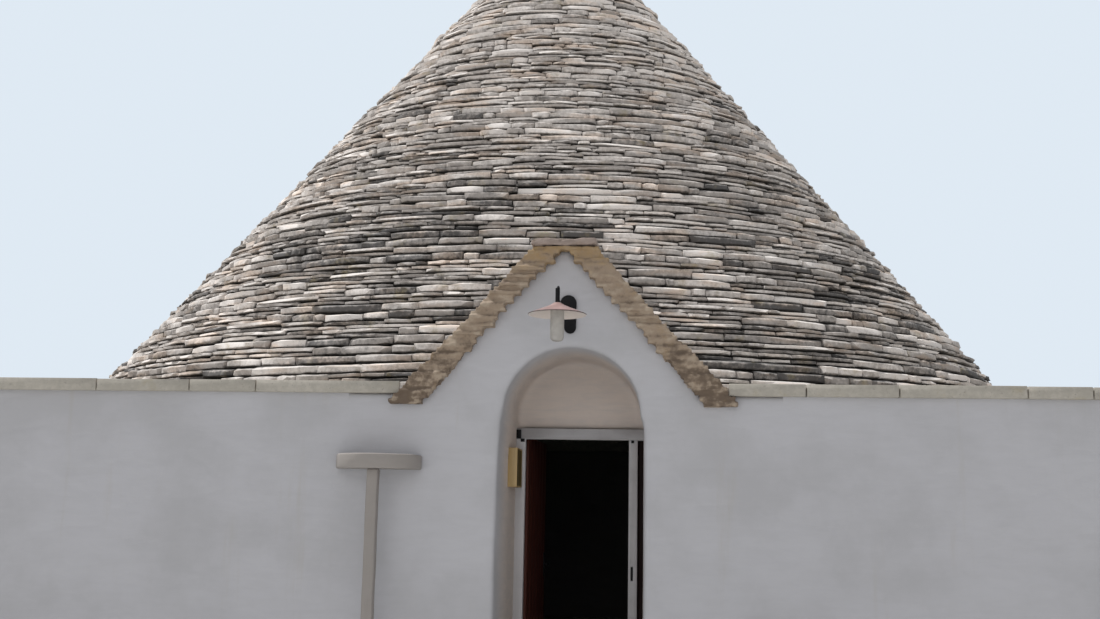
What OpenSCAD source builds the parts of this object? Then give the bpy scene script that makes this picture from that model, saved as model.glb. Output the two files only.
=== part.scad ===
// Trullo house: a square limestone room under a dry-stone cone, with a gabled
// doorway in front. The origin is on the cone's axis at ground level, the
// street front looks along -Y, and +Z is up. All sizes are in millimetres.

/* [House] */
// Outside width and depth of the square room
house_w = 9000; // [7600:50:10000]
// Thickness of the outer walls
wall_t = 1500; // [1300:10:1700]
// Height of the walls
wall_h = 2160; // [2080:5:2300]
// Thickness of the stone floor and of the doorstep
floor_t = 120; // [60:5:160]
// Depth of the triangular stones that close the room's corners under the dome
squinch_h = 300; // [150:10:450]

/* [Cone] */
// Height of the stepped cone, from the eaves up to its flat top
cone_h = 5310; // [4400:10:5600]
// Radius of the cone's flat top
cone_top_r = 250; // [200:10:340]
// Depth of the slate skin, measured level
slate_depth = 200; // [150:5:240]
// Number of slate courses in each of the three bands
band_courses = 25; // [18:1:36]
// Drop of the outer lip of each course below its back edge
slate_lip = 12; // [0:1:20]
// Height of the dome inside, from the top of the walls
dome_h = 4040; // [3400:10:4200]
// Ledge that the dome's foot keeps back from the room's walls
dome_ledge = 100; // [40:5:200]
// Radius of the hole that the closing stone covers
dome_eye_r = 300; // [200:10:360]
// Thickness of the closing stone
keystone_t = 120; // [60:5:180]

/* [Eaves] */
// Thickness of the eaves slabs
eaves_t = 80; // [50:5:120]
// How far the eaves slabs stand out from the walls
eaves_out = 50; // [20:5:120]

/* [Gable] */
// Distance of the doorway's centre line to the right of the cone's axis
door_x = 500; // [-200:10:700]
// Distance of the gable's centre line to the left of the doorway's
gable_shift = 55; // [0:5:100]
// Height of the plastered gable's point above the ground
gable_top = 3140; // [2980:10:3300]
// Angle of the gable's edges above the level
gable_slope = 48.7; // [40:0.5:55]
// Width of the coping across the gable's edge
coping_w = 160; // [100:5:220]
// How far the coping stands out in front of the wall
coping_out = 95; // [40:5:140]
// Length of the coping stones, front to back
coping_len = 360; // [250:10:450]
// Number of stepped stones in each coping
coping_steps = 17; // [8:1:24]
// How far the coping's lowest stones hang in front of the wall
coping_drop = 72; // [20:2:120]
// Width of the flat slab on the gable's point
cap_w = 460; // [350:10:560]
// Thickness of the flat slab on the gable's point
cap_t = 50; // [30:2:90]

/* [Doorway] */
// Width of the arch over the recess
recess_w = 920; // [860:10:1000]
// Depth of the arched recess
recess_d = 820; // [500:10:900]
// How far the left jamb stands inside the arch's edge at its back
jamb_in = 16; // [0:1:24]
// How far the left jamb splays outwards to its front corner
jamb_splay = 28; // [10:1:40]
// How far the right jamb stands clear of the arch's edge
jamb_out = 16; // [0:1:24]
// Height at which the arch springs
arch_z = 2015; // [1980:5:2040]
// How far the lintel bears on the wall at each side
lintel_bearing = 180; // [100:10:300]
// Thickness of the wall that closes the arch above the door
lunette_t = 100; // [60:10:150]

/* [Door] */
// Width of the timber frame's uprights
jamb_w = 50; // [48:1:75]
// Underside of the frame's head above the ground
door_head_z = 1925; // [1780:5:1940]
// Depth of the timber frame, front to back
frame_d = 125; // [110:1:150]
// Width of the stop that the leaf closes against
stop_w = 22; // [15:1:35]
// Thickness of the frame's head
head_t = 72; // [50:1:80]
// Thickness of the leaf
leaf_t = 45; // [35:1:50]
// Angle by which the leaf stands open
open_turn = 86.5; // [60:0.5:90]
// Height of the lever handles above the ground
handle_z = 1000; // [850:10:1150]
// Distance of the lever's spindle from the leaf's edge
handle_set = 52; // [40:1:80]
// Length of the lever from its spindle
lever_l = 95; // [80:5:120]
// Play between the leaf and the frame around it
leaf_gap = 10; // [8:1:12]
// Distance from the hinge pin to the leaf's two nearest faces
pin_off = 8; // [7:0.5:10]
// Radius of the hinge knuckles
knuckle_r = 5; // [4:0.5:6]
// Height of each hinge
knuckle_h = 90; // [60:5:120]
// Width of the hinges' plates, measured from the pin
hinge_w = 18; // [14:1:40]

/* [Insect screen] */
// Depth of the white screen frame, front to back
screen_d = 60; // [40:5:80]
// Width of the upright on the left
strike_w = 71; // [50:1:85]
// Height of the guide above the opening
guide_h = 78; // [60:2:100]
// Width of the case that holds the rolled net
case_w = 10; // [8:1:20]
// Width of the pull bar
pull_w = 62; // [50:1:76]
// Gap between the parked pull bar and the case
pull_gap = 42; // [6:1:50]
// Underside of the guide above the ground
guide_z = 1915; // [1800:5:1925]
// Foot of the pull bar's finger slot above the ground
slot_z = 940; // [800:10:1150]
// Length of the finger slot
slot_h = 98; // [60:2:140]

/* [Lamp] */
// Height of the wall plate's centre above the ground
lamp_z = 2691; // [2600:1:2740]
// Distance of the wall plate to the left of the doorway's centre line
lamp_x = 12; // [0:2:40]
// Width of the wall plate's lower end
plate_w = 78; // [60:2:100]
// Radius of the wall plate's round upper end
plate_head_r = 54; // [40:1:70]
// How far the round end stands to the left of the lower one
plate_head_off = 13; // [0:1:20]
// Height of the wall plate
plate_h = 256; // [180:4:320]
// Thickness of the wall plate
plate_t = 18; // [10:1:30]
// Reach of the arm from the wall to the shade's centre
arm_reach = 470; // [380:10:560]
// Angle by which the arm is turned to the left
arm_turn = 5.7; // [0:0.1:12]
// Radius of the arm's tube
arm_r = 7; // [5:0.5:9]
// Radius of the arm's bends
arm_bend_r = 20; // [17:1:30]
// Height of the arm's top above its level length's middle
arm_rise = 95; // [80:1:140]
// Radius of the socket between the arm and the shade
socket_r = 14; // [10:1:20]
// Height of the socket
socket_h = 90; // [86:1:96]
// Diameter of the shade
shade_dia = 365; // [280:5:420]
// Height of the shade
shade_h = 78; // [50:2:100]
// Thickness of the shade's metal
shade_t = 6; // [5:0.5:8]
// Radius of the shade's crown
crown_r = 48; // [46:1:60]
// Height of the steeper crown
crown_drop = 18; // [10:1:30]
// Radius of the frosted glass
glass_r = 43; // [30:1:45]
// Height of the frosted glass below the shade's rim
glass_drop = 165; // [80:5:190]

/* [Wall fittings] */
// Height of the wooden box on the reveal
box_h = 266; // [200:2:400]
// Length of the wooden box along the reveal
box_len = 300; // [200:10:400]
// Thickness of the wooden box
box_t = 53; // [25:1:60]
// Underside of the wooden box above the ground
box_z = 1570; // [1300:10:1640]
// Distance of the wooden box from the insect screen
box_gap = 40; // [20:5:100]

/* [Shelf] */
// Distance of the shelf's centre to the left of the doorway's
shelf_off = 1250; // [1000:10:1600]
// Radius of the half-round shelf
shelf_r = 280; // [200:10:320]
// Thickness of the shelf
shelf_t = 95; // [50:5:120]
// Top of the shelf above the ground
shelf_z = 1755; // [1200:5:1850]
// Width of the square post
post_w = 72; // [60:2:110]
// Distance of the post's middle from the wall
post_out = 165; // [100:5:180]

/* [Pinnacle] */
// Height of the pinnacle's drum
drum_h = 320; // [200:10:420]
// Radius of the drum's top
drum_r = 150; // [110:5:190]
// Radius of the dish
dish_r = 265; // [200:5:300]
// Height of the dish
dish_h = 110; // [70:5:160]
// Radius of the ball
ball_r = 145; // [100:5:180]

/* [Hidden] */
half = house_w / 2;
room_half = half - wall_t;
touch = 0.5;
far = 20000;
fine = 360;

eaves_z = wall_h + eaves_t;
cone_r = half;
cone_top_z = eaves_z + cone_h;
cone_slope = (cone_r - cone_top_r) / cone_h;
courses = 3 * band_courses;
course_h = cone_h / courses;
skin_r = cone_r - slate_depth;
masonry_top_r = cone_top_r;
masonry_top_z = eaves_z + (skin_r - masonry_top_r) / cone_slope;
dome_r = room_half - dome_ledge;
eye_z = wall_h + dome_h;
keystone_seat = 120;
keystone_r = dome_eye_r + keystone_seat;

arch_r = recess_w / 2;
front_y = -half;
back_of_recess = front_y + recess_d;
room_front = -room_half;
lintel_z = door_head_z + head_t;

gable_x = door_x - gable_shift;
gable_run = (gable_top - wall_h) / tan(gable_slope);
gable_base_z = arch_z;
gable_half = gable_run + 60;
coping_level_w = coping_w / sin(gable_slope);
eaves_half = half + eaves_out;
gable_foot = gable_run + coping_level_w;
step_z = (gable_top - wall_h) / (coping_steps + 1);
step_x = step_z / tan(gable_slope);
cap_z = gable_top;
prism_back = back_of_recess + lunette_t;
coping_front = front_y - coping_out;
coping_back = coping_front + coping_len;

reveal_l = door_x - arch_r + jamb_in;
reveal_r = door_x + arch_r + jamb_out;
clear_l = reveal_l + jamb_w;
clear_r = reveal_r - jamb_w;
leaf_l = clear_l - stop_w;
leaf_r = clear_r + stop_w - leaf_gap;
pin_x = leaf_l - pin_off;
frame_back = back_of_recess + frame_d;
pin_y = frame_back + pin_off;
leaf_bottom = floor_t + leaf_gap;
leaf_top = door_head_z + stop_w - leaf_gap;
leaf_h = leaf_top - leaf_bottom;
stop_play = 6;
stop_back = frame_back - leaf_t - stop_play;
hinge_play = 0.3;

screen_front = back_of_recess - screen_d;
pull_l = reveal_r - touch - case_w - pull_gap - pull_w;

plate_x = door_x - lamp_x;
arm_z = lamp_z + 14;
arm_straight = arm_rise - 2 * arm_bend_r - arm_r;
crown_z = lamp_z - 1;
rim_z = crown_z - shade_h;
glass_top_z = crown_z - crown_drop - shade_t;

pinnacle_z = cone_top_z;

// A box between two corners
module block(a, b) {
    translate(a) cube([b[0] - a[0], b[1] - a[1], b[2] - a[2]]);
}

// An outline drawn in x and z, pushed back from y0 to y1
module slab_xz(points, y0, y1) {
    translate([0, y1, 0]) rotate([90, 0, 0])
        linear_extrude(height = y1 - y0) polygon(points);
}

// Half width of the gable at the foot of step i
function gable_w(i) = gable_run - i * step_x;
// Height of the foot of step i
function step_foot(i) = wall_h + i * step_z;

// Stepped edge of the gable on one side, from the foot to the cap
function stair(side, extra) = [
    for (i = [0 : coping_steps], k = [0, 1])
        [gable_x + side * (gable_w(i) + extra),
         k == 0 ? step_foot(i) : step_foot(i + 1)]];

// Points of a list in reverse order
function turned(list) = [for (i = [len(list) - 1 : -1 : 0]) list[i]];

// Stepped gable outline above the walls, widened by extra on each side
function gable_outline(extra) =
    concat(stair(1, extra), turned(stair(-1, extra)));

// The whole gable with its coping, as the roof's stones leave room for it
module gable_room() {
    slab_xz(gable_outline(coping_level_w), coping_front - 500, prism_back);
}

// The arched space of the recess
module arch_space() {
    translate([door_x, back_of_recess + 1, arch_z]) rotate([90, 0, 0])
        cylinder(h = recess_d + 2, r = arch_r, $fn = 96);
    block([door_x - arch_r, front_y - 1, arch_z - 1],
          [door_x + arch_r, back_of_recess + 1, arch_z + 1]);
}

module floor_slab() {
    color("gainsboro")
        block([-room_half, -room_half, 0], [room_half, room_half, floor_t]);
}

// The left jamb in plan: splayed in the recess, then straight
left_jamb = [[reveal_l - jamb_splay, front_y], [reveal_l, back_of_recess],
             [reveal_l, room_front]];

module doorstep() {
    color("lightgray") linear_extrude(height = floor_t)
        polygon(concat([[reveal_r, room_front], [reveal_r, front_y]],
                       left_jamb));
}

// The seats that the gable and the lintel need in the tops of the front walls
module front_wall_seats() {
    block([gable_x - gable_half, front_y - 1, gable_base_z],
          [gable_x + gable_half, back_of_recess, wall_h + 1]);
    block([reveal_l - lintel_bearing, back_of_recess, lintel_z],
          [reveal_r + lintel_bearing, room_front + 1, wall_h + 1]);
}

module front_wall_left() {
    color("white") difference() {
        linear_extrude(height = wall_h)
            polygon(concat([[-half, room_front], [-half, front_y]],
                           left_jamb));
        front_wall_seats();
    }
}

module front_wall_right() {
    color("white") difference() {
        block([reveal_r, front_y, 0], [half, room_front, wall_h]);
        front_wall_seats();
    }
}

module left_wall() {
    color("white")
        block([-half, -room_half, 0], [-room_half, room_half, wall_h]);
}

module right_wall() {
    color("white")
        block([room_half, -room_half, 0], [half, room_half, wall_h]);
}

module back_wall() {
    color("white") block([-half, room_half, 0], [half, half, wall_h]);
}

// The plastered wall over the doorway, up to its stepped gable
module gable_wall() {
    color("white") difference() {
        union() {
            block([gable_x - gable_half, front_y, gable_base_z],
                  [gable_x + gable_half, back_of_recess, wall_h]);
            slab_xz(gable_outline(0), front_y, back_of_recess);
        }
        arch_space();
    }
}

module lunette_wall() {
    color("white")
        slab_xz(gable_outline(0), back_of_recess, prism_back);
}

module door_lintel() {
    color("lightgray")
        block([reveal_l - lintel_bearing, back_of_recess, lintel_z],
              [reveal_r + lintel_bearing, room_front, wall_h]);
}

// Triangular stones that turn the square room into the dome's round foot
module corner_squinches() {
    reach = 2 * room_half - room_half * sqrt(2);
    color("gainsboro") for (turn = [0 : 90 : 270]) rotate([0, 0, turn])
        translate([0, 0, wall_h - squinch_h]) linear_extrude(height = squinch_h)
            polygon([[room_half, room_half], [room_half - reach, room_half],
                     [room_half, room_half - reach]]);
}

// Eaves slabs between two corners in plan, cut to the dome's round foot
module eaves(a, b) {
    color("tan") difference() {
        block([a[0], a[1], wall_h], [b[0], b[1], eaves_z]);
        translate([0, 0, wall_h - 1])
            cylinder(h = eaves_t + 2, r = skin_r + touch, $fn = fine);
    }
}

module eaves_front_left() {
    eaves([-eaves_half, -eaves_half], [gable_x - gable_foot, room_front]);
}

module eaves_front_right() {
    eaves([gable_x + gable_foot, -eaves_half], [eaves_half, room_front]);
}

module eaves_left() {
    eaves([-eaves_half, room_front], [-room_half, room_half]);
}

module eaves_right() {
    eaves([room_half, room_front], [eaves_half, room_half]);
}

module eaves_back() {
    eaves([-eaves_half, room_half], [eaves_half, eaves_half]);
}

// Level of the foot of slate course i
function course_z(i) = eaves_z + i * course_h;
// Outer radius of slate course i at its lip
function course_r(i) = cone_r - i * course_h * cone_slope;
// Radius of the masonry under the slates at level z
function masonry_r(z) = skin_r - (z - eaves_z) * cone_slope;

// Half section of the masonry, with the dome inside and the closing stone's seat
masonry_section = [
    [dome_r, wall_h], [skin_r, wall_h], [skin_r, eaves_z],
    [masonry_top_r, masonry_top_z], [0, masonry_top_z],
    [0, eye_z + keystone_t], [keystone_r + touch, eye_z + keystone_t],
    [keystone_r + touch, eye_z], [dome_eye_r, eye_z]];

// One eighth of the masonry between the dome and the slates
module masonry_wedge(n) {
    color("silver") difference() {
        intersection() {
            rotate_extrude($fn = fine) polygon(masonry_section);
            rotate([0, 0, 45 * n]) linear_extrude(height = far)
                polygon([[0, 0], [far, 0], [far, far]]);
        }
        gable_room();
    }
}

module cone_masonry_1() { masonry_wedge(0); }
module cone_masonry_2() { masonry_wedge(1); }
module cone_masonry_3() { masonry_wedge(2); }
module cone_masonry_4() { masonry_wedge(3); }
module cone_masonry_5() { masonry_wedge(4); }
module cone_masonry_6() { masonry_wedge(5); }
module cone_masonry_7() { masonry_wedge(6); }
module cone_masonry_8() { masonry_wedge(7); }

module dome_keystone() {
    color("gainsboro") translate([0, 0, eye_z])
        cylinder(h = keystone_t, r = keystone_r, $fn = 96);
}

// Slate courses i0 to i1 as one skin around the masonry
module slate_band(i0, i1) {
    z0 = course_z(i0);
    z1 = course_z(i1);
    inner = [[masonry_r(z1) + touch, z1], [masonry_r(z0) + touch, z0]];
    edge = [
        for (i = [i0 : i1 - 1], k = [0 : 2])
            [k == 2 ? course_r(i + 1) : course_r(i),
             k == 0 ? course_z(i)
                    : k == 1 ? course_z(i + 1) - slate_lip : course_z(i + 1)]];
    rotate_extrude($fn = fine) polygon(concat(inner, edge));
}

module slates_lower() {
    color("darkgray") difference() {
        slate_band(0, band_courses);
        gable_room();
    }
}

module slates_middle() {
    color("darkgray") slate_band(band_courses, 2 * band_courses);
}

module slates_upper() {
    color("darkgray") slate_band(2 * band_courses, courses);
}

module pinnacle_drum() {
    color("whitesmoke") translate([0, 0, pinnacle_z])
        cylinder(h = drum_h, r1 = cone_top_r - 10, r2 = drum_r, $fn = 96);
}

module pinnacle_dish() {
    color("whitesmoke") translate([0, 0, pinnacle_z + drum_h])
        rotate_extrude($fn = 96) polygon([
            [0, 0], [drum_r - 20, 0], [dish_r - 15, dish_h * 0.55],
            [dish_r, dish_h], [0, dish_h]]);
}

module pinnacle_ball() {
    seat = 20;
    color("whitesmoke") difference() {
        translate([0, 0, pinnacle_z + drum_h + dish_h + ball_r - seat])
            sphere(r = ball_r, $fn = 96);
        translate([0, 0, pinnacle_z + drum_h + dish_h - ball_r])
            cylinder(h = ball_r, r = ball_r);
    }
}

// Stepped stones along one edge of the gable, between y0 and y1
module rake_stones(side, y0, y1) {
    slab_xz(concat(stair(side, 0), turned(stair(side, coping_level_w))), y0, y1);
}

// Lowest stone of one coping, which hangs in front of the wall
module rake_foot(side) {
    near = gable_x + side * gable_w(-1);
    away = near + side * coping_level_w;
    slab_xz([[near, wall_h - coping_drop], [away, wall_h - coping_drop],
             [away, wall_h], [near, wall_h]], coping_front, front_y);
}

module coping_left() {
    color("burlywood") {
        rake_stones(-1, coping_front, coping_back);
        rake_foot(-1);
    }
}

module coping_right() {
    color("burlywood") {
        rake_stones(1, coping_front, coping_back);
        rake_foot(1);
    }
}

module saddle_left() {
    color("darkgray") rake_stones(-1, coping_back, prism_back);
}

module saddle_right() {
    color("darkgray") rake_stones(1, coping_back, prism_back);
}

module gable_cap() {
    color("lightgray")
        block([gable_x - cap_w / 2, coping_front - 15, cap_z],
              [gable_x + cap_w / 2, coping_back, cap_z + cap_t]);
}

// Timber frame with a stop in front of the leaf and a rebate round it
module door_frame() {
    color("saddlebrown") difference() {
        block([reveal_l, back_of_recess, floor_t],
              [reveal_r, frame_back, door_head_z + head_t]);
        block([clear_l, back_of_recess - 1, floor_t - 1],
              [clear_r, frame_back + 1, door_head_z]);
        block([leaf_l - leaf_gap, stop_back, floor_t - 1],
              [leaf_r + leaf_gap, frame_back + 1, leaf_top + leaf_gap]);
    }
}

// The leaf in its shut place
module leaf_shut() {
    block([leaf_l, frame_back - leaf_t, leaf_bottom],
          [leaf_r, frame_back, leaf_top]);
}

// Turns what is drawn in the shut place inwards to the open one
module opened() {
    translate([pin_x, pin_y, 0]) rotate([0, 0, open_turn])
        translate([-pin_x, -pin_y, 0]) children();
}

module door_leaf() {
    color("saddlebrown") opened() leaf_shut();
}

// Lever handles with their plates, on both faces of the leaf
module door_handle() {
    plate = [36, 6, 180];
    lever = [lever_l + 8, 12, 16];
    spindle_l = 38;
    color("dimgray") opened() for (face = [0, 1])
        translate([leaf_r - handle_set,
                   face == 0 ? frame_back - leaf_t : frame_back, handle_z])
            mirror([0, face, 0]) {
                translate([-plate[0] / 2, -plate[1], -plate[2] / 2]) cube(plate);
                rotate([90, 0, 0]) cylinder(h = spindle_l, r = 8, $fn = 32);
                translate([-lever_l, -spindle_l - 6, -lever[2] / 2]) cube(lever);
            }
}

// Puts what is drawn at a hinge pin's foot at each of the three hinges
module at_hinges() {
    for (z = [leaf_bottom + 150, leaf_bottom + (leaf_h - knuckle_h) / 2,
              leaf_top - 150 - knuckle_h])
        translate([pin_x, pin_y, z]) children();
}

// The hinges' fixed halves: knuckles with plates on the frame's inner face
module door_hinges() {
    color("dimgray") at_hinges() {
        cylinder(h = knuckle_h / 2, r = knuckle_r, $fn = 32);
        translate([-hinge_w, -pin_off, 0])
            cube([hinge_w, pin_off, knuckle_h / 2]);
    }
}

// The hinges' moving halves, which stand on the fixed ones
module leaf_hinges() {
    color("dimgray") opened() at_hinges()
        translate([0, 0, knuckle_h / 2 + hinge_play]) {
            cylinder(h = knuckle_h / 2, r = knuckle_r, $fn = 32);
            translate([0, -pin_off, 0])
                cube([hinge_w + 20, pin_off - knuckle_r + 2, knuckle_h / 2]);
        }
}

// White frame of the insect screen: left upright, guide and case
module screen_frame() {
    color("white") {
        block([reveal_l + touch, screen_front, floor_t],
              [reveal_l + strike_w, back_of_recess, guide_z]);
        block([reveal_l + touch, screen_front, guide_z],
              [reveal_r - touch, back_of_recess, guide_z + guide_h]);
        block([reveal_r - touch - case_w, screen_front, floor_t],
              [reveal_r - touch, back_of_recess, guide_z]);
    }
}

// Pull bar of the screen, parked at the case, with its finger slot
module screen_pull_bar() {
    color("whitesmoke") difference() {
        block([pull_l, screen_front + 8, floor_t],
              [pull_l + pull_w, back_of_recess - 8, guide_z]);
        block([pull_l + 18, screen_front + 7, slot_z],
              [pull_l + 34, screen_front + 22, slot_z + slot_h]);
    }
}

// Wall plate, with a round upper end and a narrower lower one
module lamp_plate() {
    color("black") translate([plate_x, front_y, lamp_z]) rotate([90, 0, 0])
        linear_extrude(height = plate_t) hull() {
            translate([-plate_head_off, plate_h / 2 - plate_head_r])
                circle(r = plate_head_r, $fn = 32);
            translate([0, (plate_w - plate_h) / 2])
                circle(r = plate_w / 2, $fn = 32);
        }
}

// Puts what is drawn at the wall, reaching along -Y, on the plate
module on_plate() {
    translate([plate_x, front_y, 0]) rotate([0, 0, -arm_turn]) children();
}

// One curved stretch of the arm's tube, from angle a0 to a1 about a level axis
module arm_curve(y, z, a0, a1) {
    translate([0, y, z]) rotate([0, 90, 0]) rotate([0, 0, a0])
        rotate_extrude(angle = a1 - a0, $fn = 96)
            translate([arm_bend_r, 0]) circle(r = arm_r, $fn = 32);
}

// Tube from the plate's face, turned up and over into the socket on the shade
module lamp_arm() {
    up_y = -arm_reach + 2 * arm_bend_r;
    bend_z = arm_z + arm_bend_r;
    color("black") difference() {
        on_plate() {
            translate([0, 0, arm_z]) rotate([90, 0, 0])
                cylinder(h = arm_reach - 3 * arm_bend_r, r = arm_r, $fn = 32);
            arm_curve(up_y + arm_bend_r, bend_z, -90, 0);
            translate([0, up_y, bend_z])
                cylinder(h = arm_straight, r = arm_r, $fn = 32);
            arm_curve(up_y - arm_bend_r, bend_z + arm_straight, 90, 270);
            translate([0, -arm_reach, crown_z])
                cylinder(h = socket_h, r = socket_r, $fn = 64);
        }
        block([plate_x - plate_w, front_y - plate_t, arm_z - plate_w],
              [plate_x + plate_w, front_y + plate_w, arm_z + plate_w]);
    }
}

// Low enamelled bell with a flat crown under the socket
module lamp_shade() {
    color("peru") on_plate() translate([0, -arm_reach, 0])
        rotate_extrude($fn = 96) polygon([
            [0, crown_z], [socket_r + 6, crown_z],
            [crown_r, crown_z - crown_drop], [shade_dia / 2, rim_z + shade_t],
            [shade_dia / 2, rim_z], [crown_r, glass_top_z], [0, glass_top_z]]);
}

module lamp_glass() {
    color("white") on_plate()
        translate([0, -arm_reach, rim_z - glass_drop])
            cylinder(h = glass_top_z - rim_z + glass_drop, r = glass_r,
                     $fn = 96);
}

// Face of the left jamb at depth y in the recess
function jamb_x(y) =
    reveal_l - jamb_splay * (back_of_recess - y) / recess_d;

// Wooden box against the splayed jamb
module reveal_box() {
    y1 = screen_front - box_gap;
    y0 = y1 - box_len;
    color("goldenrod") translate([0, 0, box_z]) linear_extrude(height = box_h)
        polygon([[jamb_x(y0), y0], [reveal_l + box_t, y0],
                 [reveal_l + box_t, y1], [jamb_x(y1), y1]]);
}

// Half-round slab against the front wall, left of the doorway
module shelf_slab() {
    color("white") intersection() {
        translate([door_x - shelf_off, front_y, shelf_z - shelf_t])
            cylinder(h = shelf_t, r = shelf_r, $fn = 96);
        block([-half, front_y - shelf_r - 1, 0], [half, front_y, shelf_z + 1]);
    }
}

module shelf_post() {
    color("white") translate([door_x - shelf_off, front_y - post_out, 0])
        block([-post_w / 2, -post_w / 2, 0],
              [post_w / 2, post_w / 2, shelf_z - shelf_t]);
}

floor_slab();
doorstep();
front_wall_left();
front_wall_right();
left_wall();
right_wall();
back_wall();
gable_wall();
lunette_wall();
door_lintel();
corner_squinches();
eaves_front_left();
eaves_front_right();
eaves_left();
eaves_right();
eaves_back();
cone_masonry_1();
cone_masonry_2();
cone_masonry_3();
cone_masonry_4();
cone_masonry_5();
cone_masonry_6();
cone_masonry_7();
cone_masonry_8();
dome_keystone();
slates_lower();
slates_middle();
slates_upper();
pinnacle_drum();
pinnacle_dish();
pinnacle_ball();
coping_left();
coping_right();
gable_cap();
saddle_left();
saddle_right();
door_frame();
door_leaf();
door_handle();
door_hinges();
leaf_hinges();
screen_frame();
screen_pull_bar();
lamp_plate();
lamp_arm();
lamp_shade();
lamp_glass();
reveal_box();
shelf_slab();
shelf_post();
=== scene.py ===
"""Dresses a trullo house: dry-stone cone, limewashed walls, gabled doorway.

Every length is in metres. X runs to the right along the street front, Y into
the house and Z up, with the origin on the cone's axis at ground level.
"""

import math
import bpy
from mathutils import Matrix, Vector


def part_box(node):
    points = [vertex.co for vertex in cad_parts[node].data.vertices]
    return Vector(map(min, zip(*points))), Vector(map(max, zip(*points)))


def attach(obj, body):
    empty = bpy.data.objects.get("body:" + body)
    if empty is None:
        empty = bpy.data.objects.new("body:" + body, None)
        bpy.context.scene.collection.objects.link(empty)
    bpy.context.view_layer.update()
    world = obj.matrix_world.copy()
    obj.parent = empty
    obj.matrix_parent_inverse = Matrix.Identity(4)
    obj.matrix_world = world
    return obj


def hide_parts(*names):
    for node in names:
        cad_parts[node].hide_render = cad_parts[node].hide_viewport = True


bl_info = {
    "name": "Trullo House",
    "version": (1, 0, 0),
    "blender": (4, 5, 0),
    "location": "View3D > Sidebar > Trullo",
    "description": "Builds the stones, plaster, timber and metal of a trullo house",
    "category": "Object",
}

import bmesh
import bpy
import numpy as np
from bpy.props import FloatProperty, FloatVectorProperty, IntProperty, PointerProperty
from mathutils import Matrix, Vector, noise

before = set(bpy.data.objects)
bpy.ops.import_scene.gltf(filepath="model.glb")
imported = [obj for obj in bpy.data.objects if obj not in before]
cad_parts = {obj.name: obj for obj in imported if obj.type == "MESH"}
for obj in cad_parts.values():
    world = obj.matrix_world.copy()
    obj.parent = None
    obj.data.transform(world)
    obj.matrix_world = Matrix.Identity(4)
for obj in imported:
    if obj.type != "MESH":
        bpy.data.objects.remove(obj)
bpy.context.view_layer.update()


def node_box(node):
    """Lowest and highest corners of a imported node."""
    low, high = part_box(node)
    return Vector(low), Vector(high)


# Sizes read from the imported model
WALL_LOW, WALL_HIGH = node_box("back_wall")
HALF = WALL_HIGH.x
WALL_TOP = WALL_HIGH.z
ROOM_HALF = WALL_LOW.y
FRONT_Y = -HALF
EAVES_Z = node_box("eaves_back")[1].z
CONE_TOP = node_box("slates_upper")[1].z
CONE_R = node_box("slates_lower")[1].x
GABLE_LOW, GABLE_HIGH = node_box("gable_wall")
GABLE_X = (GABLE_LOW.x + GABLE_HIGH.x) / 2
GABLE_TOP = GABLE_HIGH.z
COPING_LOW, COPING_HIGH = node_box("coping_left")
SADDLE_LOW, SADDLE_HIGH = node_box("saddle_left")
JAMB_X = node_box("doorstep")[0].x
SCREEN_LOW, SCREEN_HIGH = node_box("screen_frame")
SHADE_LOW, SHADE_HIGH = node_box("lamp_shade")
GLASS_LOW, GLASS_HIGH = node_box("lamp_glass")

# Sizes that the model's source sets
BAND_COURSES = 25
CONE_TOP_R = 0.25
GABLE_SLOPE = math.radians(48.7)
COPING_ACROSS = 0.160
COPING_STEPS = 17

COURSES = 3 * BAND_COURSES
COURSE_H = (CONE_TOP - EAVES_Z) / COURSES
CONE_TAPER = (CONE_R - CONE_TOP_R) / (CONE_TOP - EAVES_Z)
GABLE_RUN = (GABLE_TOP - WALL_TOP) / math.tan(GABLE_SLOPE)
COPING_LEVEL = COPING_ACROSS / math.sin(GABLE_SLOPE)
STEP_Z = (GABLE_TOP - WALL_TOP) / (COPING_STEPS + 1)
COPING_DROP = WALL_TOP - COPING_LOW.z

# The door's leaf in its shut place, its boards, its hinge pin and how far it stands open
LEAF_LOW = Vector((0.084, -3.600, 0.130))
LEAF_HIGH = Vector((0.938, -3.555, 1.937))
LEAF_BOARDS = 6
LEAF_PIN = Vector((0.076, -3.547, 0.0))
LEAF_TURN = math.radians(86.5)

# The moulded doorway: its half width, its reach under the coping and the half width of
# the point that stays, where the recess ends and its arch springs, and how the recess's
# left edge leans at each height
DOORWAY_HALF = 1.42
UNDER_COPING = 0.08
POINT_HALF = 0.06
RECESS_TOP = 2.6
SPRING_Z = 2.06
LEAN_Z = (0.90, 1.41, 1.67, 1.93, 2.12, 2.32)
LEAN_X = (-0.012, -0.008, 0.0, 0.012, 0.012, 0.0)

# Kinds of roof stone, and the share of a stone's depth that droops at its face
SLATE_SHAPES = 14
LIP = 0.42

# The stone's tone turns paler above this height, over this rise
PALE_FROM = 3.4
PALE_RISE = 3.2

AXES = [Vector(row) for row in Matrix.Identity(3)]


def clip(value, low=0.0, high=1.0):
    """A value held between two bounds."""
    return min(max(value, low), high)


def fade(away, reach):
    """One at a place, falling to nothing at a reach from it."""
    return max(0.0, 1.0 - abs(away) / reach)


def gable_half(level):
    """Half the gable's width at a height."""
    return GABLE_RUN - (level - WALL_TOP) / math.tan(GABLE_SLOPE)


def gable_edge(side, level, extra):
    """X of the gable's edge at a height, widened by extra."""
    return GABLE_X + side * (gable_half(level) + extra)


# Settings


def colour(label, text, *default):
    """A colour setting."""
    return FloatVectorProperty(name=label, description=text, subtype="COLOR",
                               size=3, min=0.0, max=1.0, default=default)


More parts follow.
